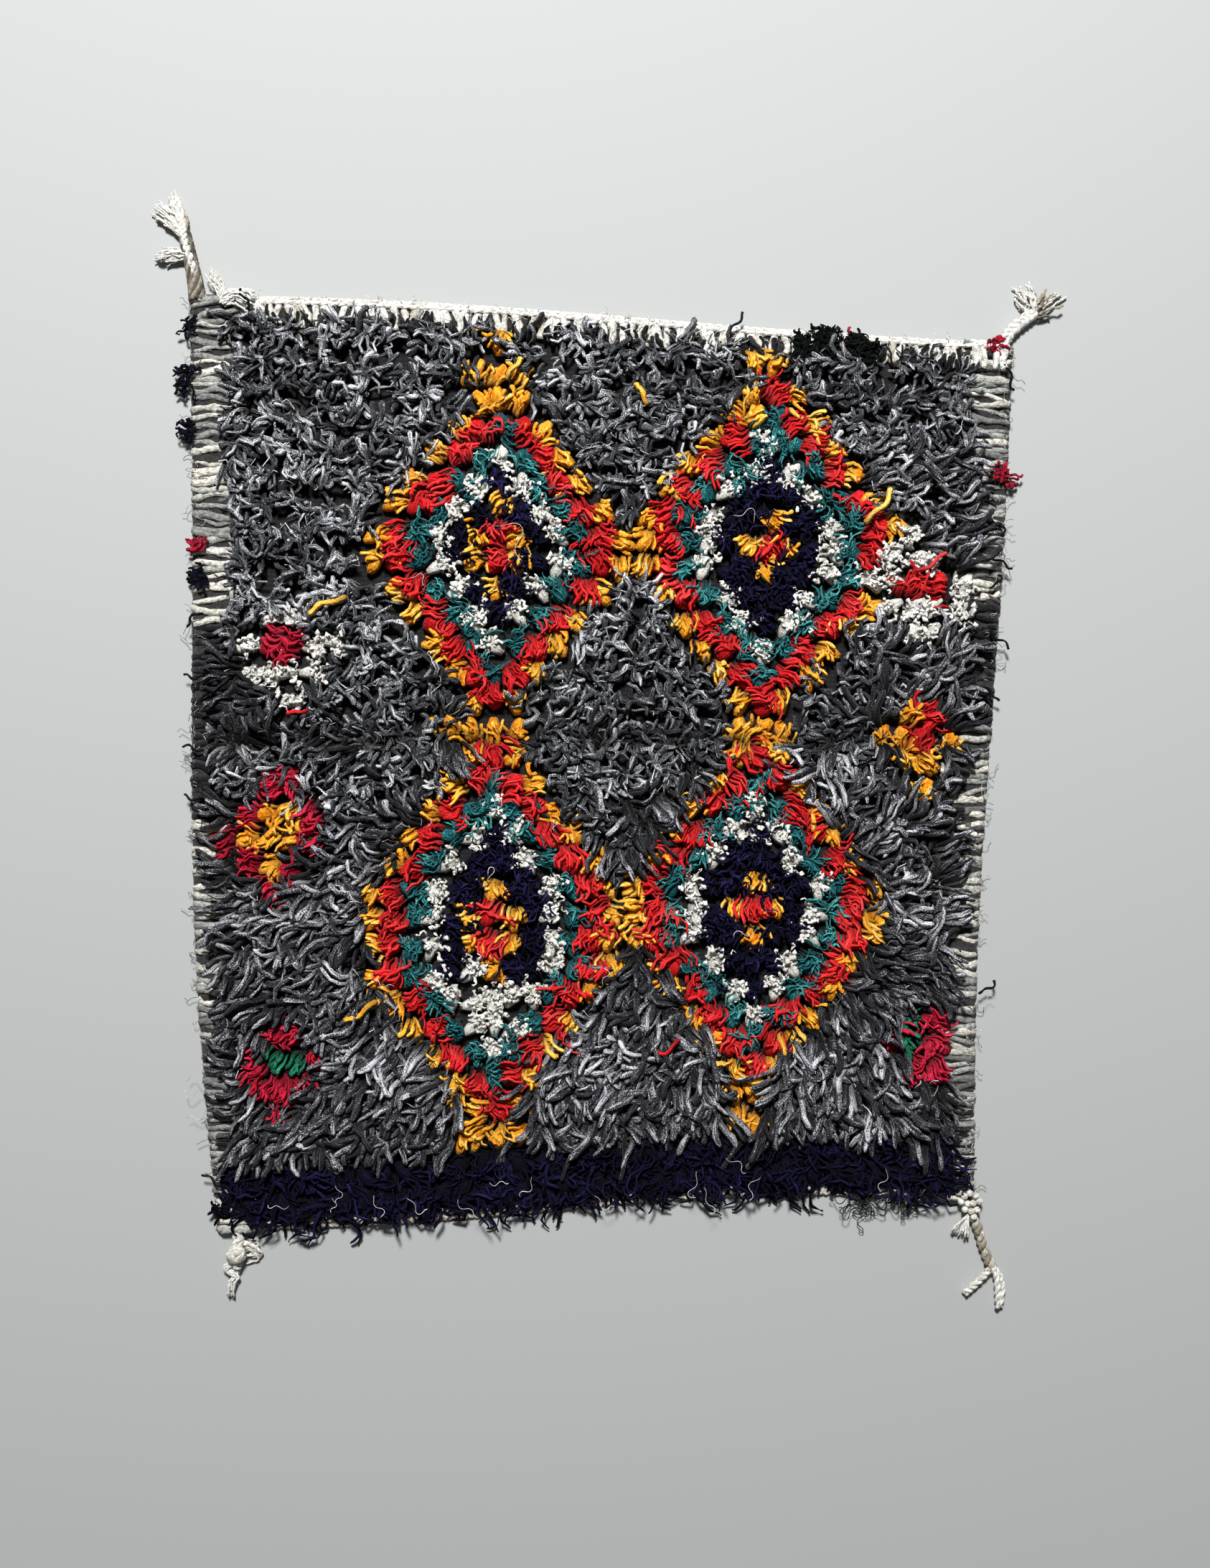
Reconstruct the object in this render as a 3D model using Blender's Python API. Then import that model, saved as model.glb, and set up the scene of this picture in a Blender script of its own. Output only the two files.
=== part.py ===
"""Boucherouite rug lying flat with its pile up: a small hand-knotted rag mat.

Metres, +Z up. The rug lies on z = 0, with the origin under the middle of its woven ground. Its warps
run along Y, the white heading is at +Y, and the dark last rows of pile are at -Y.
"""

import math
import random

import bmesh
import bpy
from mathutils import Vector, noise

for old in list(bpy.data.objects):
    bpy.data.objects.remove(old, do_unlink=True)

# Plan of the mat: its four outer corners. A hand-woven mat is never quite square.
CORNERS = {
    "bottom_left": (-0.306, -0.367),
    "bottom_right": (0.304, -0.342),
    "top_left": (-0.329, 0.387),
    "top_right": (0.335, 0.348),
}
# How far each edge swings out of its straight line, as one half wave and as one full wave. The full
# wave swings out first at the left of an end, and first at the bottom of a side.
EDGE_SWING = {
    "left": (0.0095, 0.0035),
    "right": (-0.0045, -0.0030),
    "bottom": (-0.0070, 0.0050),
    "top": (0.0035, 0.0025),
}
MEAN_WIDTH = 0.640
MEAN_LENGTH = 0.735

# Clearance between pieces that touch
GAP = 0.0004

# Overcast selvedges: outer warps wrapped round and round with thick wool.
# A section is rows of share of the width, from the outer edge in, and height.
SELVEDGE_WIDTH = 0.038
SELVEDGE_SECTION = ((0.0, 0.0030), (0.18, 0.0070), (0.60, 0.0085), (1.0, 0.0075))
WRAP_PITCH = 0.0076
WRAP_RISE = 0.0008

# White woven end at the top, with its warp cords showing as ribs
HEADING_WIDTH = 0.022
HEADING_SECTION = ((0.0, 0.0025), (0.35, 0.0060), (1.0, 0.0065))
CORD_PITCH = 0.0076
CORD_RISE = 0.0006

# Narrow woven end at the bottom, mostly under the pile
END_WEB_WIDTH = 0.010
END_WEB_SECTION = ((0.0, 0.0020), (1.0, 0.0040))
END_WEB_STEP = 0.026

# Share of a binding's width over which its outer edge is scalloped by the ribs
SCALLOP_SHARE = 0.2

# Ground and pile, as one lumpy slab, with two sizes of lump: bunches of knots, and single knots
PILE_HEIGHT = 0.0230
PILE_RIM_HEIGHT = 0.0155
PILE_SHOULDER = 0.030
PILE_CELL = 0.0165
LUMPS = (
    {"size": 0.040, "rise": 0.0060, "layer": 0.3},
    {"size": 0.021, "rise": 0.0040, "layer": 4.1},
)
RIM_LUMP_SHARE = 0.25

# Locks of rag that hang out of the slab's rim, over the bindings.
# Ring rows: share of the lock's length, size there as a share of its root.
LOCK_UNDERSIDE = 0.0102
LOCK_RINGS = ((0.35, 0.86), (0.72, 0.68), (1.0, 0.36))
LOCK_SEED = 7
LEAN_SPREAD = 0.12
# lean turns a lock along its edge, towards the right of an end or the top of a side
RIM_LOCKS = {
    "left": {"shortest": 0.014, "longest": 0.030, "lean": -0.25},
    "right": {"shortest": 0.014, "longest": 0.034, "lean": 0.35},
    "bottom": {"shortest": 0.015, "longest": 0.027, "lean": -0.20},
    "top": {"shortest": 0.007, "longest": 0.014, "lean": 0.10},
}
# The lower left corner is combed out long, over the selvedge
COMBED_SHARE = 0.38
COMBED_EXTRA = 0.9

# Corner tassels, in plan. Each lies on the floor: a plait or knot, then its strands.
# Plait rows: x, y, width, height. The sides of a plait are lower than its middle by the crown share.
PLAIT_CROWN = 0.35
TASSELS = {
    "tassel_top_left": {
        "columns": 4,
        "plait": (
            (-0.3215, 0.3873, 0.0140, 0.0080),
            (-0.3240, 0.4020, 0.0125, 0.0085),
            (-0.3285, 0.4200, 0.0105, 0.0080),
            (-0.3325, 0.4350, 0.0120, 0.0065),
        ),
    },
    "tassel_top_right": {
        "columns": 2,
        "plait": (
            (0.3265, 0.3492, 0.0100, 0.0075),
            (0.3340, 0.3590, 0.0100, 0.0085),
            (0.3430, 0.3655, 0.0095, 0.0080),
            (0.3510, 0.3715, 0.0100, 0.0075),
        ),
    },
    "tassel_bottom_left": {
        "columns": 2,
        "plait": (
            (-0.2880, -0.3670, 0.0110, 0.0060),
            (-0.2885, -0.3760, 0.0170, 0.0120),
            (-0.2900, -0.3850, 0.0190, 0.0150),
            (-0.2915, -0.3930, 0.0130, 0.0110),
            (-0.2930, -0.3975, 0.0070, 0.0060),
        ),
    },
    "tassel_bottom_right": {
        "columns": 6,
        "plait": (
            (0.2895, -0.3421, 0.0150, 0.0070),
            (0.2925, -0.3505, 0.0190, 0.0110),
            (0.2975, -0.3560, 0.0190, 0.0090),
        ),
    },
}
# Strands leave the plait's end. columns says which parts of the end they take, from its left as it
# runs, and a way has rows of x, y and size there.
TASSEL_STRANDS = {
    "tassel_top_left": (
        {"columns": (0,), "way": ((-0.3440, 0.4385, 1.00), (-0.3530, 0.4460, 0.50))},
        {"columns": (1,), "way": ((-0.3405, 0.4500, 1.00), (-0.3490, 0.4620, 0.55))},
        {"columns": (2,), "way": ((-0.3355, 0.4520, 0.95), (-0.3420, 0.4710, 0.50))},
        {"columns": (3,), "way": ((-0.3295, 0.4450, 0.90), (-0.3320, 0.4530, 0.50))},
    ),
    "tassel_top_right": (
        {"columns": (0,), "way": ((0.3480, 0.3770, 1.15), (0.3435, 0.3900, 0.80))},
        {"columns": (1,), "way": ((0.3610, 0.3745, 1.15), (0.3670, 0.3820, 1.00), (0.3730, 0.3880, 0.30))},
    ),
    "tassel_bottom_left": (
        {
            "columns": (0, 1),
            "way": (
                (-0.2965, -0.4015, 0.95),
                (-0.2945, -0.4065, 0.85),
                (-0.2915, -0.4105, 0.85),
                (-0.2945, -0.4165, 0.80),
                (-0.2950, -0.4220, 0.50),
            ),
        },
    ),
    "tassel_bottom_right": (
        {"columns": (5,), "way": ((0.2890, -0.3635, 0.85), (0.2845, -0.3655, 0.55))},
        {"columns": (4,), "way": ((0.2920, -0.3650, 0.85), (0.2890, -0.3695, 0.55))},
        {"columns": (3,), "way": ((0.2955, -0.3645, 0.85), (0.2950, -0.3715, 0.55))},
        {"columns": (2,), "way": ((0.2990, -0.3620, 0.80), (0.3005, -0.3690, 0.55))},
        {
            "columns": (0, 1),
            "way": (
                (0.3055, -0.3610, 0.95),
                (0.3095, -0.3740, 0.90),
                (0.3135, -0.3855, 0.90),
                (0.3180, -0.3945, 1.00),
            ),
            "legs": (
                ((0.3225, -0.4040, 1.25), (0.3245, -0.4180, 1.25), (0.3250, -0.4310, 0.80)),
                ((0.3115, -0.4030, 0.95), (0.3030, -0.4115, 0.95), (0.2960, -0.4180, 0.80)),
            ),
        },
    ),
}
# Locks that leave a plait's left wall: the fuzzy one of the top left plait, and the short loop by the
# bottom left knot. step counts the plait's rows from its root.
SIDE_LOCKS = {
    "tassel_top_left": {"step": 1, "way": ((-0.3430, 0.4160, 0.90), (-0.3575, 0.4160, 0.60))},
    "tassel_bottom_left": {"step": 1, "way": ((-0.2760, -0.3815, 0.80), (-0.2700, -0.3840, 0.60))},
}


def linear(hex_colour):
    """Turn an sRGB hex colour into linear red, green, blue and alpha."""
    shares = [int(hex_colour[i:i + 2], 16) / 255 for i in (1, 3, 5)]
    return [c / 12.92 if c <= 0.04045 else ((c + 0.055) / 1.055) ** 2.4 for c in shares] + [1.0]


def fibre(name, hex_colour, roughness):
    """A plain fibre material: dull, never metallic."""
    material = bpy.data.materials.new(name)
    material.use_nodes = True
    shader = material.node_tree.nodes["Principled BSDF"]
    shader.inputs["Base Color"].default_value = linear(hex_colour)
    shader.inputs["Roughness"].default_value = roughness
    shader.inputs["Metallic"].default_value = 0.0
    return material


def finish(name, bm, material):
    """Close a mesh as one named object with its faces pointing out."""
    bmesh.ops.recalc_face_normals(bm, faces=bm.faces)
    mesh = bpy.data.meshes.new(name)
    bm.to_mesh(mesh)
    bm.free()
    mesh.materials.append(material)
    bpy.context.collection.objects.link(bpy.data.objects.new(name, mesh))


def swing(edge, share):
    """How far an edge has swung out at a share of its length."""
    half, full = EDGE_SWING[edge]
    return half * math.sin(math.pi * share) + full * math.sin(2 * math.pi * share)


def edge_point(edge, share):
    """A point of one outer edge, from its left or bottom corner (0) to the other (1)."""
    ends = {
        "left": ("bottom_left", "top_left", (-1, 0)),
        "right": ("bottom_right", "top_right", (1, 0)),
        "bottom": ("bottom_left", "bottom_right", (0, -1)),
        "top": ("top_left", "top_right", (0, 1)),
    }
    first, last, outward = ends[edge]
    chord = Vector(CORNERS[first]).lerp(Vector(CORNERS[last]), share)
    return chord + Vector(outward) * swing(edge, share)


def plan(u, v):
    """The mat's plan: u from left to right, v from bottom to top, blended between its four edges."""
    ends = edge_point("bottom", u).lerp(edge_point("top", u), v)
    sides = edge_point("left", v).lerp(edge_point("right", v), u)
    low = Vector(CORNERS["bottom_left"]).lerp(Vector(CORNERS["bottom_right"]), u)
    high = Vector(CORNERS["top_left"]).lerp(Vector(CORNERS["top_right"]), u)
    return ends + sides - low.lerp(high, v)


# Shares of the plan that the bindings take
SIDE_U = SELVEDGE_WIDTH / MEAN_WIDTH
GAP_U = GAP / MEAN_WIDTH
TOP_V = HEADING_WIDTH / MEAN_LENGTH
BOTTOM_V = END_WEB_WIDTH / MEAN_LENGTH
GAP_V = GAP / MEAN_LENGTH


def smooth(share):
    """An even rise from 0 to 1."""
    share = min(max(share, 0.0), 1.0)
    return share * share * (3 - 2 * share)


def grid_faces(bm, rows):
    """Quads between neighbouring rows of vertices."""
    for low, high in zip(rows, rows[1:]):
        for a, b, c, d in zip(low, low[1:], high[1:], high):
            bm.faces.new((a, b, c, d))


def grid_rim(rows):
    """The vertices round the edge of a grid, once round."""
    right = [row[-1] for row in rows[1:-1]]
    left = [row[0] for row in rows[1:-1]]
    return rows[0] + right + rows[-1][::-1] + left[::-1]


def close_below(bm, rim, levels):
    """Walls from a rim down through the levels to a flat underside. Returns each level's wall faces."""
    walls = []
    for level in levels:
        lower = [bm.verts.new((v.co.x, v.co.y, level)) for v in rim]
        walls.append([
            bm.faces.new((rim[i], lower[i], lower[(i + 1) % len(rim)], rim[(i + 1) % len(rim)]))
            for i in range(len(rim))
        ])
        rim = lower
    bm.faces.new(rim)
    return walls


def binding(name, place, section, length, pitch, rise, material):
    """A band with ribs across it: place(s, t) is its plan, s from its outer edge in, t along it.

    The ribs swell its top and its outer edge by the rise, ridge and hollow in turn.
    """
    bm = bmesh.new()
    steps = 2 * round(length / pitch) if rise else round(length / pitch)
    rows = []
    for j in range(steps + 1):
        t = j / steps
        swell = rise * (-1) ** j
        outward = (place(0.0, t) - place(1.0, t)).normalized()
        row = []
        for s, height in section:
            x, y = place(s, t) + outward * swell * (1 - smooth(s / SCALLOP_SHARE))
            row.append(bm.verts.new((x, y, height + swell)))
        rows.append(row)
    grid_faces(bm, rows)
    close_below(bm, grid_rim(rows), (0.0,))
    finish(name, bm, material)


def grow(bm, faces, path, sizes):
    """Lengthen a patch of end faces into a strand, and return its new end faces.

    path holds the centres of its rings, and sizes each ring's size as a share of the root's. Each ring
    is turned to face along the path.
    """
    loops = [list(face.verts) for face in faces]
    around = [(loop[i - 1], loop[i]) for loop in loops for i in range(len(loop))]
    border = [(a, b) for a, b in around if (b, a) not in around]
    corners = sorted({v for loop in loops for v in loop}, key=lambda v: v.index)
    centre = sum((v.co for v in corners), Vector()) / len(corners)
    facing = sum((face.normal for face in faces), Vector()).normalized()
    for face in faces:
        bm.faces.remove(face)
    ring = {v: v for v in corners}
    stops = [centre, *path]
    for i, (stop, size) in enumerate(zip(path, sizes), start=1):
        ahead = (stops[min(i + 1, len(path))] - stops[i - 1]).normalized()
        turn = facing.rotation_difference(ahead)
        fresh = {v: bm.verts.new(stop + turn @ ((v.co - centre) * size)) for v in corners}
        for a, b in border:
            bm.faces.new((ring[a], ring[b], fresh[b], fresh[a]))
        ring = fresh
    return [bm.faces.new([ring[v] for v in loop]) for loop in loops]


def pile_height(point, inset):
    """Height of the pile: low at the rim, lumpy knots of rag inside."""
    shoulder = smooth(inset / PILE_SHOULDER)
    lumps = sum(
        row["rise"] * noise.noise(Vector((point.x / row["size"], point.y / row["size"], row["layer"])))
        for row in LUMPS
    )
    lumps *= RIM_LUMP_SHARE + (1 - RIM_LUMP_SHARE) * shoulder
    return PILE_RIM_HEIGHT + (PILE_HEIGHT - PILE_RIM_HEIGHT) * shoulder + lumps


def lock_way(face, side, share, fate):
    """The way of one rim lock: outwards, leaning more and more along its edge."""
    outward, along = {
        "left": (Vector((-1, 0, 0)), Vector((0, 1, 0))),
        "right": (Vector((1, 0, 0)), Vector((0, 1, 0))),
        "bottom": (Vector((0, -1, 0)), Vector((1, 0, 0))),
        "top": (Vector((0, 1, 0)), Vector((1, 0, 0))),
    }[side]
    row = RIM_LOCKS[side]
    length = fate.uniform(row["shortest"], row["longest"])
    if side == "left":
        length *= 1 + COMBED_EXTRA * max(0.0, 1 - share / COMBED_SHARE)
    lean = row["lean"] + fate.uniform(-LEAN_SPREAD, LEAN_SPREAD)
    root = face.calc_center_median()
    return [root + length * (t * outward + lean * t * t * along) for t, _ in LOCK_RINGS]


def pile_ground(material):
    """Woven ground and rag pile as one lumpy slab, with locks growing out of every second rim cell."""
    bm = bmesh.new()
    u0, u1 = SIDE_U + GAP_U, 1 - SIDE_U - GAP_U
    v0, v1 = BOTTOM_V + GAP_V, 1 - TOP_V - GAP_V
    across = round((u1 - u0) * MEAN_WIDTH / PILE_CELL)
    along = round((v1 - v0) * MEAN_LENGTH / PILE_CELL)
    rows = []
    for j in range(along + 1):
        row = []
        for i in range(across + 1):
            point = plan(u0 + (u1 - u0) * i / across, v0 + (v1 - v0) * j / along)
            inset = PILE_CELL * min(i, across - i, j, along - j)
            row.append(bm.verts.new((point.x, point.y, pile_height(point, inset))))
        rows.append(row)
    grid_faces(bm, rows)
    upper_walls, _ = close_below(bm, grid_rim(rows), (LOCK_UNDERSIDE, 0.0))
    bm.normal_update()
    bm.verts.index_update()

    # The rim runs once round from the bottom left corner: bottom, right, top and left
    sides = (("bottom", across), ("right", along), ("top", across), ("left", along))
    fate = random.Random(LOCK_SEED)
    start = 0
    for side, cells in sides:
        for i in range(1, cells - 1, 2):
            face = upper_walls[start + i]
            share = i / cells if side in ("bottom", "right") else 1 - i / cells
            way = lock_way(face, side, share, fate)
            grow(bm, [face], way, [size for _, size in LOCK_RINGS])
        start += cells
    finish("pile_ground", bm, material)


def plait(bm, rows, columns):
    """A flat plait along the rows of x, y, width and height, lying on the floor.

    Its end is split into columns, from its left to its right as it runs. Returns the end faces and,
    for each step, the faces of its left wall.
    """
    rings = []
    for i, (x, y, width, height) in enumerate(rows):
        before, after = rows[max(i - 1, 0)], rows[min(i + 1, len(rows) - 1)]
        ahead = Vector((after[0] - before[0], after[1] - before[1])).normalized()
        if i == 0:
            ahead = Vector((0, math.copysign(1, after[1] - y)))
        right = Vector((ahead.y, -ahead.x))
        low, high = [], []
        for k in range(columns + 1):
            side = 2 * k / columns - 1
            spot = Vector((x, y)) + right * side * width / 2
            low.append(bm.verts.new((spot.x, spot.y, 0.0)))
            high.append(bm.verts.new((spot.x, spot.y, height * (1 - PLAIT_CROWN * side * side))))
        rings.append((low, high))
    left_walls = []
    for (low_a, high_a), (low_b, high_b) in zip(rings, rings[1:]):
        for k in range(columns):
            bm.faces.new((high_a[k], high_a[k + 1], high_b[k + 1], high_b[k]))
            bm.faces.new((low_a[k + 1], low_a[k], low_b[k], low_b[k + 1]))
        left_walls.append(bm.faces.new((low_a[0], high_a[0], high_b[0], low_b[0])))
        bm.faces.new((high_a[-1], low_a[-1], low_b[-1], high_b[-1]))
    bm.faces.new(rings[0][0] + rings[0][1][::-1])
    low, high = rings[-1]
    ends = [bm.faces.new((low[k], high[k], high[k + 1], low[k + 1])) for k in range(columns)]
    return ends, left_walls


def on_floor(faces, way):
    """The rows x, y, size as ring centres that keep a strand's underside on the floor."""
    lift = sum(f.calc_center_median().z for f in faces) / len(faces)
    return [Vector((x, y, lift * size)) for x, y, size in way], [size for _, _, size in way]


def tassel(name, material):
    """A corner tassel: the warp ends plaited or knotted, and their loose strands beyond."""
    bm = bmesh.new()
    table = TASSELS[name]
    ends, left_walls = plait(bm, table["plait"], table["columns"])
    bmesh.ops.recalc_face_normals(bm, faces=bm.faces)
    bm.verts.index_update()
    for strand in TASSEL_STRANDS[name]:
        faces = [ends[k] for k in strand["columns"]]
        tips = grow(bm, faces, *on_floor(faces, strand["way"]))
        bm.normal_update()
        bm.verts.index_update()
        for tip, leg in zip(tips, strand.get("legs", ())):
            grow(bm, [tip], *on_floor([tip], leg))
    if name in SIDE_LOCKS:
        lock = SIDE_LOCKS[name]
        wall = left_walls[lock["step"]]
        grow(bm, [wall], *on_floor([wall], lock["way"]))
    finish(name, bm, material)


def left_place(s, t):
    """Plan of the left selvedge."""
    return plan(s * SIDE_U, t)


def right_place(s, t):
    """Plan of the right selvedge."""
    return plan(1 - s * SIDE_U, t)


def between_selvedges(t):
    """A share of the length of an end, between the two selvedges."""
    first, last = SIDE_U + GAP_U, 1 - SIDE_U - GAP_U
    return first + (last - first) * t


def heading_place(s, t):
    """Plan of the white heading."""
    return plan(between_selvedges(t), 1 - s * TOP_V)


def end_web_place(s, t):
    """Plan of the narrow bottom end."""
    return plan(between_selvedges(t), s * BOTTOM_V)


rag = fibre("rag_pile", "#5b5b60", 0.95)
wool = fibre("selvedge_wool", "#cfc9bd", 0.9)
cotton = fibre("white_cotton", "#efeee8", 0.9)

end_length = MEAN_WIDTH - 2 * SELVEDGE_WIDTH
pile_ground(rag)
binding("selvedge_left", left_place, SELVEDGE_SECTION, MEAN_LENGTH, WRAP_PITCH, WRAP_RISE, wool)
binding("selvedge_right", right_place, SELVEDGE_SECTION, MEAN_LENGTH, WRAP_PITCH, WRAP_RISE, wool)
binding("heading_top", heading_place, HEADING_SECTION, end_length, CORD_PITCH, CORD_RISE, cotton)
binding("end_web_bottom", end_web_place, END_WEB_SECTION, end_length, END_WEB_STEP, 0.0, cotton)
for tassel_name in TASSELS:
    tassel(tassel_name, cotton)
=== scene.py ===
"""Boucherouite rug, seen from straight above: its woven ground, knotted pile, selvedges, ends and tassels."""

import bpy
import numpy as np
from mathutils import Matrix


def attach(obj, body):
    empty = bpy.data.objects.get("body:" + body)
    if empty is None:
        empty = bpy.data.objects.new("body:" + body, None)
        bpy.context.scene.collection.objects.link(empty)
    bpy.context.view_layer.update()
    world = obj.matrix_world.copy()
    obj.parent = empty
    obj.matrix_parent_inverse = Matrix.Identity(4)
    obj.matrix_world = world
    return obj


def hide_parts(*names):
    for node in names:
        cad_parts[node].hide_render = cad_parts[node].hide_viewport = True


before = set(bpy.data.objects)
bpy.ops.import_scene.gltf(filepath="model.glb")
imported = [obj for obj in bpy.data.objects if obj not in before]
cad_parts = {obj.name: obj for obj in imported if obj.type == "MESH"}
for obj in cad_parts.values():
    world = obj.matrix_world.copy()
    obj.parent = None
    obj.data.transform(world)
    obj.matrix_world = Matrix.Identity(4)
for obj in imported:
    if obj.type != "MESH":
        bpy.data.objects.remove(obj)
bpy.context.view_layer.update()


# Woven ground
# Wool warps and wefts beaten into a cloth 3 mm thick, with the pile knotted through it. It shows only as
# dark glimpses between the strips, and its near-black colour is painted shade for those deep gaps. The mat's
# outline is its own: hand weaving is never quite square.

CORNERS = {
    "bottom_left": (-0.306, -0.367),
    "bottom_right": (0.304, -0.342),
    "top_left": (-0.329, 0.387),
    "top_right": (0.335, 0.348),
}
# side: first corner, last corner, outward direction, and its swing as a half wave and a full wave
EDGES = {
    "left": ("bottom_left", "top_left", (-1, 0), 0.0095, 0.0035),
    "right": ("bottom_right", "top_right", (1, 0), -0.0045, -0.0030),
    "bottom": ("bottom_left", "bottom_right", (0, -1), -0.0070, 0.0050),
    "top": ("top_left", "top_right", (0, 1), 0.0035, 0.0025),
}
MEAN_WIDTH, MEAN_LENGTH = 0.640, 0.735
SELVEDGE_U = 0.038 / MEAN_WIDTH
HEADING_V = 0.022 / MEAN_LENGTH
END_WEB_V = 0.010 / MEAN_LENGTH
INNER = 1 - 2 * SELVEDGE_U
GROUND_TOP = 0.003
WEAVE_PITCH = 0.0035
# A wave texture of scale 1 has a band every 0.31 m
WAVE_BAND = 0.31


def edge(side, share):
    """Points of one outer edge: its chord from corner to corner, plus its two waves outwards."""
    first, last, outward, half, full = EDGES[side]
    share = np.asarray(share, float)[..., None]
    start, end = np.array(CORNERS[first]), np.array(CORNERS[last])
    swing = half * np.sin(np.pi * share) + full * np.sin(2 * np.pi * share)
    return start + (end - start) * share + np.array(outward) * swing


def plan(u, v):
    """The mat's plan at u from left to right and v from bottom to top.

    The sum of the two blends between opposite edges, less the blend of the four corners.
    """
    u, v = np.broadcast_arrays(np.asarray(u, float), np.asarray(v, float))
    across, along = u[..., None], v[..., None]
    ends = edge("bottom", u) * (1 - along) + edge("top", u) * along
    sides = edge("left", v) * (1 - across) + edge("right", v) * across
    low = np.array(CORNERS["bottom_left"]) * (1 - across) + np.array(CORNERS["bottom_right"]) * across
    high = np.array(CORNERS["top_left"]) * (1 - across) + np.array(CORNERS["top_right"]) * across
    return ends + sides - low * (1 - along) - high * along


def band(flat, height):
    """A closed band: a top grid at its height, the same grid on the floor, and a wall round the rim.

    flat holds the plan of the grid, rows by columns, with its columns running to the left of its rows.
    """
    rows, columns = height.shape
    top = np.concatenate([flat, height[..., None]], -1).reshape(-1, 3)
    number = np.arange(rows * columns).reshape(rows, columns)
    first = number[:-1, :-1]
    quads = np.stack([first, first + 1, first + columns + 1, first + columns], -1).reshape(-1, 4)
    rim = np.concatenate([number[0], number[1:, -1], number[-1, -2::-1], number[-2:0:-1, 0]])
    ahead = np.roll(rim, -1)
    below = rows * columns
    walls = np.stack([rim, rim + below, ahead + below, ahead], -1)
    faces = np.concatenate([quads, quads[:, ::-1] + below, walls])
    points = np.concatenate([top, top * (1, 1, 0)])
    return {"points": points, "faces": [faces], "spots": [points[faces][..., :2]], "marks": {}}


def piece(name, material, *batches):
    """One object at the origin from batches of whole arrays, which it joins.

    A batch has points, face arrays, a spot on the yarn or cloth for each face corner in metres, marks,
    which are named numbers for each point, and for yarns the place of each face corner in a square
    that its yarn has to itself. Those squares are set out side by side in a map for baking.
    """
    shifts = np.cumsum([0] + [len(b["points"]) for b in batches[:-1]])
    faces = [f + shift for b, shift in zip(batches, shifts) for f in b["faces"]]
    points = np.concatenate([b["points"] for b in batches])
    sizes = np.concatenate([np.full(len(f), f.shape[1]) for f in faces])
    spots = np.concatenate([s.reshape(-1, 2) for b in batches for s in b["spots"]])
    mesh = bpy.data.meshes.new(name)
    mesh.vertices.add(len(points))
    mesh.vertices.foreach_set("co", points.astype(np.float32).ravel())
    mesh.loops.add(int(sizes.sum()))
    mesh.loops.foreach_set("vertex_index", np.concatenate([f.ravel() for f in faces]).astype(np.int32))
    mesh.polygons.add(len(sizes))
    mesh.polygons.foreach_set("loop_start", (np.cumsum(sizes) - sizes).astype(np.int32))
    mesh.update(calc_edges=True)
    mesh.polygons.foreach_set("use_smooth", np.ones(len(sizes), bool))
    mesh.uv_layers.new(name="yarn").data.foreach_set("uv", spots.astype(np.float32).ravel())
    if "squares" in batches[0]:
        counts = [b["yarns"] for b in batches]
        side = int(np.ceil(np.sqrt(sum(counts))))
        places = []
        for b, before in zip(batches, np.cumsum([0] + counts[:-1])):
            for own, square in b["squares"]:
                corner = np.stack([(own + before) % side, (own + before) // side], -1)
                places.append(((corner[:, None] + square) / side).reshape(-1, 2))
        baked = np.concatenate(places).astype(np.float32)
        mesh.uv_layers.new(name="OFBake").data.foreach_set("uv", baked.ravel())
    for mark in batches[0]["marks"]:
        values = np.concatenate([b["marks"][mark] for b in batches])
        mesh.attributes.new(mark, "FLOAT", "POINT").data.foreach_set("value", values.astype(np.float32))
    mesh.materials.append(material)
    made = bpy.data.objects.new(name, mesh)
    bpy.context.collection.objects.link(made)
    return made


def fit(made, node):
    """Let a piece ride with the mat and replace a node of the solid model."""
    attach(made, "root")
    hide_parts(node)


def linear(hex_colour):
    """Turn an sRGB hex colour into linear red, green, blue and alpha."""
    shares = [int(hex_colour[i:i + 2], 16) / 255 for i in (1, 3, 5)]
    return [c / 12.92 if c <= 0.04045 else ((c + 0.055) / 1.055) ** 2.4 for c in shares] + [1.0]


def add(tree, kind, settings, links=None):
    """Add a shader node to a material, with its settings and what is linked into it.

    A node given as a link stands for its first output.
    """
    made = tree.nodes.new("ShaderNode" + kind)
    for key, value in settings.items():
        if isinstance(key, str) and hasattr(made, key):
            setattr(made, key, value)
        else:
            made.inputs[key].default_value = value
    for key, source in (links or {}).items():
        tree.links.new(getattr(source, "outputs", [source])[0], made.inputs[key])
    return made


def fibre_material(name, **finish):
    """A new fibre material: itself, its node tree, and its shader with the finish set on its sockets."""
    material = bpy.data.materials.new(name)
    material.use_nodes = True
    shader = material.node_tree.nodes["Principled BSDF"]
    for socket, value in finish.items():
        shader.inputs[socket.replace("_", " ")].default_value = value
    return material, material.node_tree, shader


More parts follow.
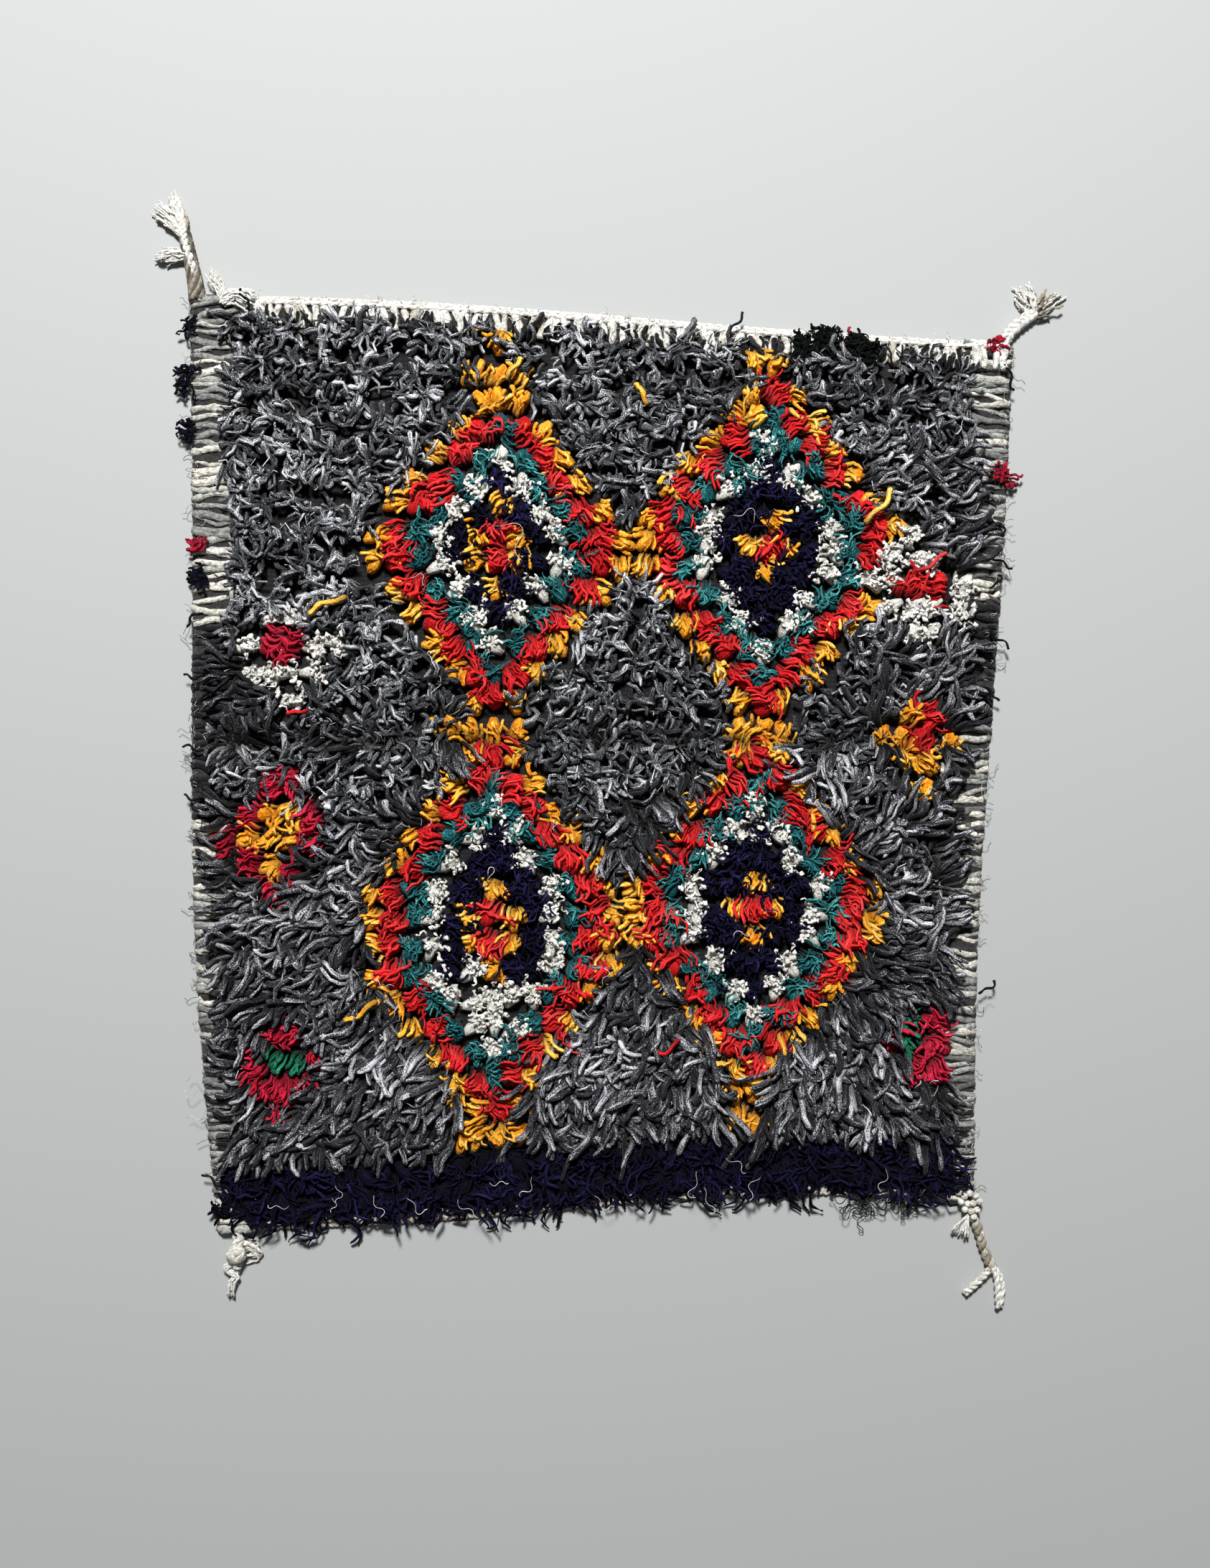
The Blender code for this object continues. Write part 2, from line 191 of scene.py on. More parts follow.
def ground_wool_painted_shade():
    """Undyed wool plain weave, its colour near-black painted shade for the deep gaps under the pile: matt,
    with the square bumps of its wefts, painted a little lighter on their tops.
    """
    material, tree, shader = fibre_material("ground_wool_painted_shade", Roughness=0.95)
    spot = add(tree, "TexCoord", {})
    scale = WAVE_BAND / WEAVE_PITCH
    weft = add(tree, "TexWave", {"Scale": scale, "bands_direction": "Y", "Distortion": 1.5},
               {"Vector": spot.outputs["Object"]})
    warp = add(tree, "TexWave", {"Scale": scale, "bands_direction": "X", "Distortion": 1.0},
               {"Vector": spot.outputs["Object"]})
    weave = add(tree, "Math", {"operation": "MULTIPLY"},
                {0: weft.outputs["Fac"], 1: warp.outputs["Fac"]})
    # Painted shade: two near-black colours, the lighter one where the weave stands up
    colour = add(tree, "Mix", {"data_type": "RGBA", 6: linear("#0b0a0d"), 7: linear("#1d1b1e")},
                 {0: weave})
    bump = add(tree, "Bump", {"Strength": 0.6, "Distance": 0.001}, {"Height": weave})
    tree.links.new(colour.outputs[2], shader.inputs["Base Color"])
    tree.links.new(bump.outputs[0], shader.inputs["Normal"])
    return material


ground_u, ground_v = np.meshgrid(np.linspace(SELVEDGE_U, 1 - SELVEDGE_U, 41),
                                 np.linspace(END_WEB_V, 1 - HEADING_V, 47))
ground = piece("woven_ground", ground_wool_painted_shade(),
               band(plan(ground_u, ground_v), np.full(ground_u.shape, GROUND_TOP)))
fit(ground, "pile_ground")


# Left and right selvedges
# The outer warps of each side, bundled flat and overcast round and round with thick handspun wool. Each
# wrap shows as one ridge. Here and there the wool is black or smoky, where the weaver ran short of white.

SELVEDGE_SECTION = np.array(((0.0, 0.0020), (0.05, 0.0045), (0.18, 0.0066), (0.60, 0.0080), (1.0, 0.0070)))
WRAP_PITCH = 0.0056
WRAP_HALF = 0.0029
WRAP_RISE = 0.0021
WRAP_ROLL = 0.3
WRAP_SWAY, WRAP_SLANT = 0.0019, 0.0030
# A wrap sinks into the band by this share of its own thickness
WRAP_SINK, CORD_SINK = 0.55, 0.3
# The core's height, as a share of the band's
CORE_SHARE = 0.82
FUZZ_HALF = 0.00028
FUZZ_BEND, FUZZ_WOBBLE, FUZZ_DIP = 2.4, 0.9, 0.5
SELVEDGE_HAIRS = 260
WOOL_SPREAD = {"left": 0.34, "right": 0.75}
# Stretches of other wool: from, to (shares of the length from the bottom) and lot, from white to black
WOOL_STRETCHES = {
    "left": ((0.44, 0.65, 0.93), (0.04, 0.24, 0.40), (0.30, 0.36, 0.30), (0.74, 0.79, 0.35),
             (0.885, 0.905, 0.55), (0.84, 0.865, 0.4), (0.935, 1.0, 0.34)),
    "right": ((0.55, 0.69, 0.95), (0.10, 0.13, 0.30), (0.36, 0.40, 0.28), (0.73, 0.78, 0.35)),
}

# Where the unrolled wall of a yarn and its two ends lie in the yarn's own square of the map for baking
WALL_SIZE, WALL_PLACE = (0.90, 0.74), (0.04, 0.13)
END_HALF, END_PLACES = 0.035, ((0.25, 0.05), (0.25, 0.94))
# Each yarn's flecks start at a place of its own in the pattern, this far across and along for its lot
LOT_SHIFT = (3.7, 11.3)


def yarns(paths, half_width, half_height, roll, sides, lot):
    """Yarns along many paths at once, as one batch for piece().

    paths is yarns by rings by 3. Each ring is an ellipse, half_width by half_height and turned by roll.
    Its cross axis is level and square to the path, and its upper axis is square to both.
    lot is one number for each yarn, from 0 to 1, that its material varies with.
    """
    count, rings = paths.shape[:2]
    half_width, half_height, roll = (np.broadcast_to(a,
                                                     (count, rings)) for a in (half_width, half_height, roll))
    run = np.gradient(paths, axis=1)
    run /= np.linalg.norm(run, axis=2, keepdims=True) + 1e-9
    across = np.stack([-run[..., 1], run[..., 0], np.zeros((count, rings))], -1)
    across /= np.linalg.norm(across, axis=2, keepdims=True) + 1e-9
    upper = np.cross(run, across)
    turn = roll[..., None] + np.arange(sides) / sides * 2 * np.pi
    points = (paths[:, :, None]
              + (half_width[..., None] * np.cos(turn))[..., None] * across[:, :, None]
              + (half_height[..., None] * np.sin(turn))[..., None] * upper[:, :, None])

    number = np.arange(count * rings * sides).reshape(count, rings, sides)
    low, high = number[:, :-1], number[:, 1:]
    quads = np.stack([low, np.roll(low, -1, 2), np.roll(high, -1, 2), high], -1).reshape(-1, 4)
    caps = np.concatenate([number[:, 0, ::-1], number[:, -1]])

    step = np.linalg.norm(np.diff(paths, axis=1), axis=2)
    along = np.concatenate([np.zeros((count, 1)), np.cumsum(step, 1)], 1)
    share = along / along[:, -1:]
    side = np.arange(sides) / sides
    shape = (count, rings - 1, sides)
    left, right = np.broadcast_to(side, shape), np.broadcast_to(side + 1 / sides, shape)
    near, far = np.broadcast_to(share[:, :-1, None], shape), np.broadcast_to(share[:, 1:, None], shape)
    local = np.stack([np.stack(c, -1) for c in ((left, near), (right, near), (right, far), (left, far))], -2)
    around = side * 2 * np.pi
    disc = np.broadcast_to(np.stack([np.cos(around), np.sin(around)], -1), (count, sides, 2))
    # Real lengths on the yarn, from a place of its own, so that no two yarns wear the same flecks
    girth = np.pi * (half_width + half_height).mean(1)
    start = lot[:, None] * LOT_SHIFT
    size = np.stack([girth, along[:, -1]], -1)
    spots = start[:, None, None, None] + local * size[:, None, None, None]
    cap_spots = start[:, None] + disc * girth[:, None, None] / (2 * np.pi)
    own = np.arange(count)
    wall = (np.repeat(own, (rings - 1) * sides), (local * WALL_SIZE + WALL_PLACE).reshape(-1, 4, 2))
    ends = (np.tile(own, 2), np.concatenate([disc * END_HALF + place for place in END_PLACES]))
    return {
        "points": points.reshape(-1, 3),
        "faces": [quads, caps],
        "spots": [spots, np.concatenate([cap_spots, cap_spots])],
        "marks": {"lot": np.repeat(lot, rings * sides), "along": np.repeat(share.ravel(), sides)},
        "yarns": count,
        "squares": [wall, ends],
    }


FLOOR_GAP = 0.0003


def above_floor(paths, reach, gap=FLOOR_GAP):
    """Lift whatever would sink into the floor: paths whose yarns reach this far below their middle."""
    paths[..., 2] = np.maximum(paths[..., 2], reach + gap)
    return paths


def smooth(share):
    """An even rise from 0 to 1."""
    share = np.clip(share, 0, 1)
    return share * share * (3 - 2 * share)


# A strip sets out at this pitch, in radians, and climbs by this much for each share of it spent upright
UPRIGHT, CLIMB = 1.45, 1.28
WAVES_PER_STRIP = 1.3


def laid(root, start, length, rise, bend, wobble, phase, dip, rings):
    """Paths of strips that rise from their roots, bend over and lie down.

    Each is a chain of steps, the last of them short. Its pitch starts near upright and dies away, so
    that the strip climbs by its rise, and then dips. Its heading sets out from start and turns by its
    bend, more and more, with a wave of its wobble and phase.
    """
    share = np.append(np.linspace(0, 0.93, rings - 1), 1.0)
    dying = np.clip(rise / (CLIMB * length), 0.03, 2.5)[:, None]
    pitch = UPRIGHT * np.exp(-share / dying) - dip[:, None] * share
    turn = start[:, None] + bend[:, None] * share ** 1.5
    turn = turn + wobble * np.sin(2 * np.pi * WAVES_PER_STRIP * share + phase[:, None]) * np.sqrt(share)
    step = np.stack([np.cos(pitch) * np.cos(turn), np.cos(pitch) * np.sin(turn), np.sin(pitch)], -1)
    step = step * np.diff(share, prepend=0)[None, :, None] * length[:, None, None]
    return root[:, None] + np.cumsum(step, 1)


def selvedge_place(side, s, t):
    """Plan of a selvedge at s from its outer edge in and t along it."""
    return plan(s * SELVEDGE_U if side == "left" else 1 - s * SELVEDGE_U, t)


def wraps_of(side, fate):
    """The wraps of one selvedge: each runs over the band's section from its outer edge in, a bit askew."""
    wraps = round(MEAN_LENGTH / WRAP_PITCH)
    s = np.linspace(0.0, 1.0, 9)
    middle = (np.arange(wraps) + 0.5 + fate.uniform(-0.3, 0.3, wraps)) / wraps
    sway = fate.normal(0, WRAP_SWAY, (wraps, 3)) @ np.stack([np.sin(np.pi * k * s) / k for k in (1, 2, 3)])
    slant = fate.normal(0.0, WRAP_SLANT, wraps)[:, None] * (s - 0.5)
    t = np.clip(middle[:, None] + (sway + slant) / MEAN_LENGTH, 0.002, 0.998)
    centre = selvedge_place(side, np.broadcast_to(s + 0.012, t.shape), t)
    girth = fate.uniform(0.6, 1.25, (wraps, 1)) * (1 + fate.normal(0, 0.12, t.shape))
    height = np.interp(s, *SELVEDGE_SECTION.T) - WRAP_RISE * WRAP_SINK + fate.normal(0, 0.0008, t.shape)
    reach = girth * np.hypot(WRAP_HALF * np.sin(WRAP_ROLL), WRAP_RISE * np.cos(WRAP_ROLL))
    paths = above_floor(np.concatenate([centre, height[..., None]], -1), reach)
    lot = fate.beta(1.2, 2.2, wraps) * WOOL_SPREAD[side]
    for low, high, value in WOOL_STRETCHES[side]:
        inside = (middle > low) & (middle < high)
        lot[inside] = value + fate.uniform(-0.20, 0.08, inside.sum())
    return yarns(paths, WRAP_HALF * girth, WRAP_RISE * girth, WRAP_ROLL, 6, np.clip(lot, 0, 1))


def fuzz(foot, height, heading, swerve, length, rise, palest, fate):
    """Loose fibres: short thin curls that leave a bound edge, each at its own height and near one heading."""
    hairs = len(foot)
    root = np.concatenate([foot, fate.uniform(*height, (hairs, 1))], 1)
    start = heading + fate.normal(0, swerve, hairs)
    paths = laid(root, start, fate.uniform(*length, hairs), np.full(hairs, rise),
                 fate.normal(0, FUZZ_BEND, hairs), FUZZ_WOBBLE, fate.uniform(0, 6.3, hairs),
                 fate.uniform(0.0, FUZZ_DIP, hairs), 6)
    return yarns(above_floor(paths, FUZZ_HALF), FUZZ_HALF, FUZZ_HALF, 0.0, 3,
                 fate.uniform(0.0, palest, hairs))


def fuzz_of(side, fate):
    """Fibres that leave the outer half of one selvedge."""
    t = fate.uniform(0.01, 0.99, SELVEDGE_HAIRS)
    foot = selvedge_place(side, fate.beta(0.8, 2.0, SELVEDGE_HAIRS), t)
    return fuzz(foot, (0.004, 0.008), np.pi if side == "left" else 0.0, 1.1, (0.005, 0.015), 0.0015, 0.75,
                fate)


def handspun_wool(name, stops):
    """Handspun yarn: matt with a soft sheen, lumpy with slubs. Its stops are the colours of its lots."""
    material, tree, shader = fibre_material(name, Roughness=0.9, Specular_IOR_Level=0.15, Sheen_Weight=0.1,
                                            Sheen_Roughness=0.5)
    yarn = add(tree, "UVMap", {"uv_map": "yarn"})
    lot = add(tree, "Attribute", {"attribute_name": "lot"})
    # The twist shows as fibres drawn out along the yarn, about 0.8 mm apart
    drawn = add(tree, "Mapping", {"Rotation": (0, 0, 0.5), "Scale": (1250, 260, 1)},
                {"Vector": yarn})
    fibre = add(tree, "TexNoise", {"Scale": 1.0, "Detail": 3.0}, {"Vector": drawn})
    slub = add(tree, "TexNoise", {"Scale": 320.0, "Detail": 2.0}, {"Vector": yarn})
    tint = add(tree, "ValToRGB", {}, {"Fac": lot.outputs["Fac"]})
    ramp = tint.color_ramp.elements
    ramp[0].position, ramp[0].color = stops[0][0], linear(stops[0][1])
    ramp[1].position, ramp[1].color = stops[-1][0], linear(stops[-1][1])
    for position, colour in stops[1:-1]:
        ramp.new(position).color = linear(colour)
    height = add(tree, "Math", {"operation": "MULTIPLY_ADD", 1: 0.8},
                 {0: fibre, 2: slub})
    # Painted shade: the colour darkens where the bump's height is low, between the drawn fibres and slubs
    hollow_shade = add(tree, "MapRange", {"From Min": 0.65, "From Max": 1.1, "To Min": 0.34, "To Max": 1.06},
               {"Value": height})
    colour = add(tree, "VectorMath", {"operation": "SCALE"},
                 {0: tint, "Scale": hollow_shade})
    bump = add(tree, "Bump", {"Strength": 1.0, "Distance": 0.0012}, {"Height": height})
    tree.links.new(colour.outputs[0], shader.inputs["Base Color"])
    tree.links.new(bump.outputs[0], shader.inputs["Normal"])
    return material


wrap_wool = handspun_wool("overcasting_wool", ((0.0, "#f1ede2"), (0.12, "#dbd8cc"), (0.24, "#b4b6b1"),
                                               (0.42, "#8b8d8b"), (0.62, "#4c4a4a"), (0.78, "#24252b"),
                                               (0.95, "#101116")))
# The cores under the wraps and the cords are painted dark grey, as painted shade for the gaps where they show
shaded_core_wool = handspun_wool("warp_core_painted_shade", ((0.0, "#3c3a3a"), (1.0, "#3c3a3a")))
for side, seed in (("left", 11), ("right", 12)):
    s, s_height = SELVEDGE_SECTION.T
    flat = selvedge_place(side, s[None], np.linspace(0, 1, 100)[:, None])
    if side == "right":
        flat, s_height = flat[:, ::-1], s_height[::-1]
    core = piece(f"selvedge_{side}_core", shaded_core_wool,
                 band(flat, np.broadcast_to(s_height * CORE_SHARE, flat.shape[:2])))
    wraps = piece(f"selvedge_{side}_wraps", wrap_wool, wraps_of(side, np.random.default_rng(seed)),
                  fuzz_of(side, np.random.default_rng(seed + 2)))
    for part in (core, wraps):
        fit(part, f"selvedge_{side}")


# Top heading
# The end that was warped first: white cotton warps in pairs, packed into thick upright cords and bound at
# the very edge with two rows of twining. Tips of dark pile stand up between the cords.

HEADING_SECTION = np.array(((0.0, 0.0016), (0.10, 0.0038), (0.35, 0.0052), (1.0, 0.0056)))
CORD_PITCH = 0.0070
CORD_HALF = 0.0033
CORD_RISE = 0.0025
CORD_SWAY = 0.0018
HEADING_CORE = 0.8

fate = np.random.default_rng(21)
cotton = handspun_wool("white_cotton", ((0.0, "#fbfaf5"), (0.3, "#ebe8de"), (0.6, "#b9ae9c"),
                                        (1.0, "#57514a")))
s, s_height = HEADING_SECTION.T
flat = plan(SELVEDGE_U + INNER * np.linspace(0, 1, 90)[None], 1 - s[::-1, None] * HEADING_V)
heading_core = piece("heading_core", shaded_core_wool,
                     band(flat, np.broadcast_to(s_height[::-1, None] * HEADING_CORE, flat.shape[:2])))

# At the right the cords run on over the end of the selvedge, to the corner that the tassel leaves from
HEADING_START, HEADING_END = SELVEDGE_U, 1 - 0.12 * SELVEDGE_U
OVER_SELVEDGE, OVER_SPAN = 0.0042, 0.012


def along_heading(share):
    """Share u of the mat at a share of the heading's own width."""
    return HEADING_START + (HEADING_END - HEADING_START) * share


def climb(u):
    """How much the cords rise where they run on over the end of the right selvedge."""
    return OVER_SELVEDGE * smooth((u - 1 + SELVEDGE_U) / OVER_SPAN)


cords = round((HEADING_END - HEADING_START) * MEAN_WIDTH / CORD_PITCH)
s = np.linspace(0.10, 1.10, 8)
middle = (np.arange(cords) + 0.5 + fate.uniform(-0.25, 0.25, cords)) / cords
lean = fate.normal(0, CORD_SWAY, (cords, 2)) / MEAN_WIDTH @ np.stack([np.sin(np.pi * s),
                                                                      np.sin(2 * np.pi * s)])
cord_u = along_heading(np.clip(middle[:, None] + lean, 0.004, 0.996))
centre = plan(cord_u, 1 - s * HEADING_V)
girth = fate.uniform(0.75, 1.15, (cords, 1)) * (1 + fate.normal(0, 0.12, (cords, 8)))
height = np.interp(s, *HEADING_SECTION.T) - CORD_RISE * CORD_SINK + fate.normal(0, 0.0006, (cords, 8))
paths = np.concatenate([centre, (height + climb(cord_u))[..., None]], -1)
cord_batch = yarns(above_floor(paths, CORD_RISE * girth), CORD_HALF * girth, CORD_RISE * girth, 0.0, 7,
                   fate.beta(1.1, 2.5, cords) * 0.55)

# Twining: two rows of short slanting stitches along the very edge, the inner row riding higher
TWINE_HALF, TWINE_RISE = 0.0018, 0.0015
stitches = 2 * cords
row = (np.arange(stitches) % 2)[:, None]
spot = (np.arange(stitches)[:, None] // 2 + 0.5 + 0.25 * row) / cords
lie = np.linspace(-0.62, 0.62, 5)
centre = plan(along_heading(np.clip(spot + lie / cords, 0.0, 1.0)),
              1 - (0.07 + 0.15 * row + 0.05 * lie * (1 - 2 * row)) * HEADING_V)
height = 0.0026 + 0.0022 * row + 0.0010 * np.cos(lie * np.pi / 1.3) + climb(along_heading(spot))
twining = yarns(np.concatenate([centre, height[..., None]], -1), TWINE_HALF, TWINE_RISE, 0.0, 6,
                fate.uniform(0.0, 0.12, stitches))

# Cotton fluff along the edge
HEADING_HAIRS = 200
foot = plan(along_heading(fate.uniform(0.0, 1.0, HEADING_HAIRS)),
            1 - HEADING_V * fate.uniform(0.05, 0.6, HEADING_HAIRS))
fluff = fuzz(foot, (0.004, 0.007), np.pi / 2, 1.2, (0.004, 0.011), 0.002, 0.3, fate)
heading_cords = piece("heading_cords", cotton, cord_batch, twining, fluff)
for part in (heading_core, heading_cords):
    fit(part, "heading_top")


# Bottom woven end
# A narrow strip of plain cotton weave that ends the mat, with one thick twisted cord along its edge. Most
# of it lies under the dark last rows of pile.

END_WEB_SECTION = np.array(((0.0, 0.0014), (0.5, 0.0030), (1.0, 0.0034)))
EDGE_TURNS = 62
EDGE_INSET, EDGE_HEIGHT = 0.0016, 0.0024
PLY_HALF, PLY_RISE, PLY_SWING = 0.0012, 0.0011, 0.0009
s, s_height = END_WEB_SECTION.T[..., None]
flat = plan(SELVEDGE_U + INNER * np.linspace(0, 1, 80)[None], s * END_WEB_V)
web_height = np.broadcast_to(s_height, flat.shape[:2])
web = piece("end_web_cloth", cotton, band(flat, web_height))
along = np.linspace(0.0, 1.0, 220)
twist = along * EDGE_TURNS * 2 * np.pi + np.array(((0.0,), (np.pi,)))
centre = plan(SELVEDGE_U + INNER * along, (EDGE_INSET + PLY_HALF * np.cos(twist)) / MEAN_LENGTH)
cord_paths = np.concatenate([centre, (EDGE_HEIGHT + PLY_SWING * np.sin(twist))[..., None]], -1)
edge_cord = piece("end_web_cord", cotton, yarns(cord_paths, PLY_HALF, PLY_RISE, 0.0, 6,
                                                np.array((0.45, 0.6))))
for part in (web, edge_cord):
    fit(part, "end_web_bottom")


# Knots and their dyes
# The pile is knotted in rows over the warps. Each knot's yarn follows the pattern: four lozenges of nested
# rings, small diamonds down both sides, a navy band at the bottom, and grey rag all round them.

KNOT_COLUMNS, KNOT_ROWS = 36, 32
KNOT_STEP = 0.0164 / MEAN_WIDTH
PILE_U = 0.021 / MEAN_WIDTH
# Lozenges, counted in knots as the weaver does: middle column, middle row from the bottom, and rows in all
LOZENGES = ((13, 23.5, 14), (26, 24, 15), (13, 9.5, 16), (26, 10, 15))
# One knot wide each, from the outside in
RINGS = ("yellow", "red", "teal", "white", "navy", "navy", "navy")
# The heart, in knots each way from the middle: yellow, and red inside it
HEART_WIDE, HEART_TALL, HEART_RED = 1.6, 2.0, 0.5
# Small diamonds and patches over all that: middle, half width, half height and yarn
PATCHES = (
    (0.0273, 0.1873, 0.015, 0.020, "yellow"),
    (0.0174, -0.1056, 0.022, 0.020, "yellow"),
    (-0.0830, 0.3190, 0.026, 0.036, "yellow"),
    (0.1270, 0.3190, 0.019, 0.036, "yellow"),
    (-0.0870, 0.0390, 0.032, 0.016, "yellow"),
    (0.1260, 0.0390, 0.032, 0.016, "yellow"),
    (-0.0950, -0.2860, 0.036, 0.030, "yellow"),
    (0.1130, -0.2660, 0.026, 0.030, "yellow"),
    (-0.0950, -0.1850, 0.034, 0.036, "white"),
    (-0.2520, 0.1000, 0.046, 0.050, "white"),
    (-0.2620, 0.1010, 0.024, 0.014, "crimson"),
    (-0.2620, -0.0490, 0.046, 0.060, "crimson"),
    (-0.2600, -0.0460, 0.026, 0.044, "yellow"),
    (-0.2550, -0.2310, 0.034, 0.050, "crimson"),
    (-0.2490, -0.2260, 0.021, 0.021, "green"),
    (0.2590, 0.1530, 0.048, 0.054, "white"),
    (0.2600, 0.1560, 0.022, 0.014, "red"),
    (0.2590, 0.0330, 0.036, 0.046, "yellow"),
    (0.2620, 0.0400, 0.024, 0.016, "red"),
    (0.2640, -0.2160, 0.028, 0.046, "crimson"),
    (0.2530, -0.2130, 0.014, 0.018, "green"),
    (0.1860, 0.3390, 0.044, 0.014, "black"),
)
NAVY_ROWS = 2
# How far a knot strays from its place, in shares of a column and of a row
STRAY = (0.16, 0.13)
# How far the edge columns stand in from the mat's edge, and the heights, in shares, where that ends
LEFT_UPPER, LEFT_LOWER, RIGHT_OUT = 0.006, -0.002, 0.005
UPPER_LEFT, UPPER_RIGHT = 0.62, 0.86
# How far in, in shares, the pile is pushed out by an edge
EDGE_REACH = 0.14
# The mat was once folded across: where the pile parts, how far from that line, and how deep the crease is
FOLD_LINE, FOLD_REACH, FOLD_DIP = 0.029, 0.020, 0.0032
CREASE_HALF, CREASE_DEEP = 0.010, 0.45

fate = np.random.default_rng(41)
column, knot_row = (a.ravel() for a in np.meshgrid(np.arange(KNOT_COLUMNS), np.arange(KNOT_ROWS)))


def knot_place(column, row):
    """Shares u and v of the mat where a knot sits, from its column and its row up from the bottom."""
    return (PILE_U + KNOT_STEP * (column + 0.5),
            END_WEB_V + (1 - END_WEB_V - HEADING_V) * (row + 0.5) / KNOT_ROWS)


charted = plan(*knot_place(column, knot_row))
shift = fate.uniform(-1, 1, (2, column.size))
knot_u, knot_v = knot_place(column + STRAY[0] * shift[0], knot_row + STRAY[1] * shift[1])
knot = plan(knot_u, knot_v)
# The first column stands back from the left selvedge in the upper half, and is knotted over it lower down
knot[:, 0] += np.where(knot_v > UPPER_LEFT, LEFT_UPPER, LEFT_LOWER) * (column == 0)
knot[:, 0] += RIGHT_OUT * ((column == KNOT_COLUMNS - 1) & (knot_v < UPPER_RIGHT))

# Grey strips are short and ruffled in the upper half, long and combed lower down and near the sides
combed = smooth((0.58 - knot_v) / 0.26)
combed = np.maximum(combed, 0.85 * smooth((knot_u - 0.80) / 0.08) * (knot_v < 0.88))
combed = np.maximum(combed, 0.5 * smooth((0.14 - knot_u) / 0.06) * (knot_v < UPPER_LEFT))
dyed = np.where(fate.uniform(0, 1, len(knot)) < combed, "combed", "ruffled").astype("<U8")
in_lozenge = np.zeros(len(knot), bool)
outward = np.zeros(knot.shape)
for middle_column, middle_row, rows in LOZENGES:
    # Each ring steps in by one knot for each row, past the few rows at the middle that repeat
    away = np.stack([column - middle_column, knot_row - middle_row], 1)
    repeated = (rows - 2 * len(RINGS) + 1) / 2
    ring = (len(RINGS) - 1 - np.abs(away[:, 0]) - np.maximum(np.abs(away[:, 1]) - repeated, 0)).astype(int)
    here = ring >= 0
    dyed[here] = np.array(RINGS)[ring[here]]
    heart = np.abs(away[:, 0]) / HEART_WIDE + np.abs(away[:, 1]) / HEART_TALL
    dyed[heart < 1] = "yellow"
    dyed[heart < HEART_RED] = "red"
    in_lozenge |= here
    outward[here] = (away / (np.linalg.norm(away, axis=1, keepdims=True) + 1e-6) * (ring < 5)[:, None])[here]
for x, y, half_wide, half_tall, yarn in PATCHES:
    here = (np.abs(charted - (x, y)) / (half_wide, half_tall)).sum(1) < 1
    dyed[here] = yarn
dyed[knot_row < NAVY_ROWS] = "navy"

# The lie of the pile: pushed out from each edge, combed down and to the left in the lower half, and
# ruffled by two slow waves. Round a lozenge it also leans outwards, and along a fold line it parts.
west = (2.0 - 1.3 * smooth((knot_v - 0.57) / 0.1)) * np.exp(-knot_u / EDGE_REACH)
east = 1.5 * np.exp(-(1 - knot_u) / EDGE_REACH)
south = 2.4 * np.exp(-knot_v / EDGE_REACH)
lower = smooth((0.55 - knot_v) / 0.3)
ripple_x = 0.4 * np.sin(knot[:, 1] * 17 + 1.3) * np.cos(knot[:, 0] * 13)
ripple_y = 0.3 * np.sin(knot[:, 0] * 15 + 0.4)
lean = np.stack([east - west - 0.35 * lower + ripple_x,
                 0.55 * east * (knot_v > 0.25) - south - 0.45 * lower - ripple_y], 1)
lean += outward * (0.7 - 0.3 * lower)[:, None]
lean[:, 1] -= 0.5 * in_lozenge + 0.9 * (knot_row == KNOT_ROWS - 1)
from_fold = charted[:, 1] - FOLD_LINE
near_fold = np.exp(-(from_fold / FOLD_REACH) ** 2)
lean[:, 1] += 3.0 * np.sign(from_fold) * near_fold
ruffle = np.where(dyed == "ruffled", 1.3, np.where(in_lozenge, 0.5, 0.24))
lie = np.arctan2(lean[:, 1], lean[:, 0]) + fate.normal(0, 1, len(knot)) * ruffle
lie[dyed == "black"] = np.pi / 2 + fate.normal(0, 0.4, (dyed == "black").sum())
last = knot_row < NAVY_ROWS
lie[last] = -np.pi / 2 + fate.normal(0, 0.5, last.sum()) + 0.5 * (knot_u[last] - 0.5)
# Knots of one shade come in drifts, as the rags came to hand. Along the fold line they are painted darker,
# as painted shade for the parting there.
drift_and_fold_shade = (0.5 - 0.6 * near_fold + 0.22 * np.sin(knot[:, 0] * 41 + 3 * np.sin(knot[:, 1] * 23))
         + 0.22 * np.sin(knot[:, 1] * 53 + 1.1))

PILE_ROOT = 0.006
# How high the pile lies over the selvedges, and how much of a strip's clearance the floor outside asks for
OVER_WOOL, OVER_FLOOR = 0.0065, 0.0008
RIM_SPAN, INNER_SPAN = 0.004, 0.01


def settled(paths, thick):
    """Press strips down along the crease, and lift them over ground, selvedges or the floor outside."""
    crease = 1 - CREASE_DEEP * np.exp(-((paths[..., 1] - FOLD_LINE) / CREASE_HALF) ** 2)
    paths[..., 2] = GROUND_TOP + (paths[..., 2] - GROUND_TOP) * crease
    v = np.clip((paths[..., 1] - edge("bottom", 0.5)[1]) / MEAN_LENGTH, 0, 1)
    left, right = edge("left", v)[..., 0], edge("right", v)[..., 0]
    u = (paths[..., 0] - left) / (right - left)
    inset = np.minimum(u, 1 - u)
    over_side = smooth((inset + RIM_SPAN) / (2 * RIM_SPAN)) * (1 - smooth((inset - SELVEDGE_U) / INNER_SPAN))
    low = np.where(inset < -RIM_SPAN, OVER_FLOOR, GROUND_TOP + OVER_WOOL * over_side)
    paths[..., 2] = np.maximum(paths[..., 2], low + thick)
    return paths


def knots(where):
    """The places, the lie and the shade of some of the knots, for tufts()."""
    return knot[where], lie[where], drift_and_fold_shade[where]


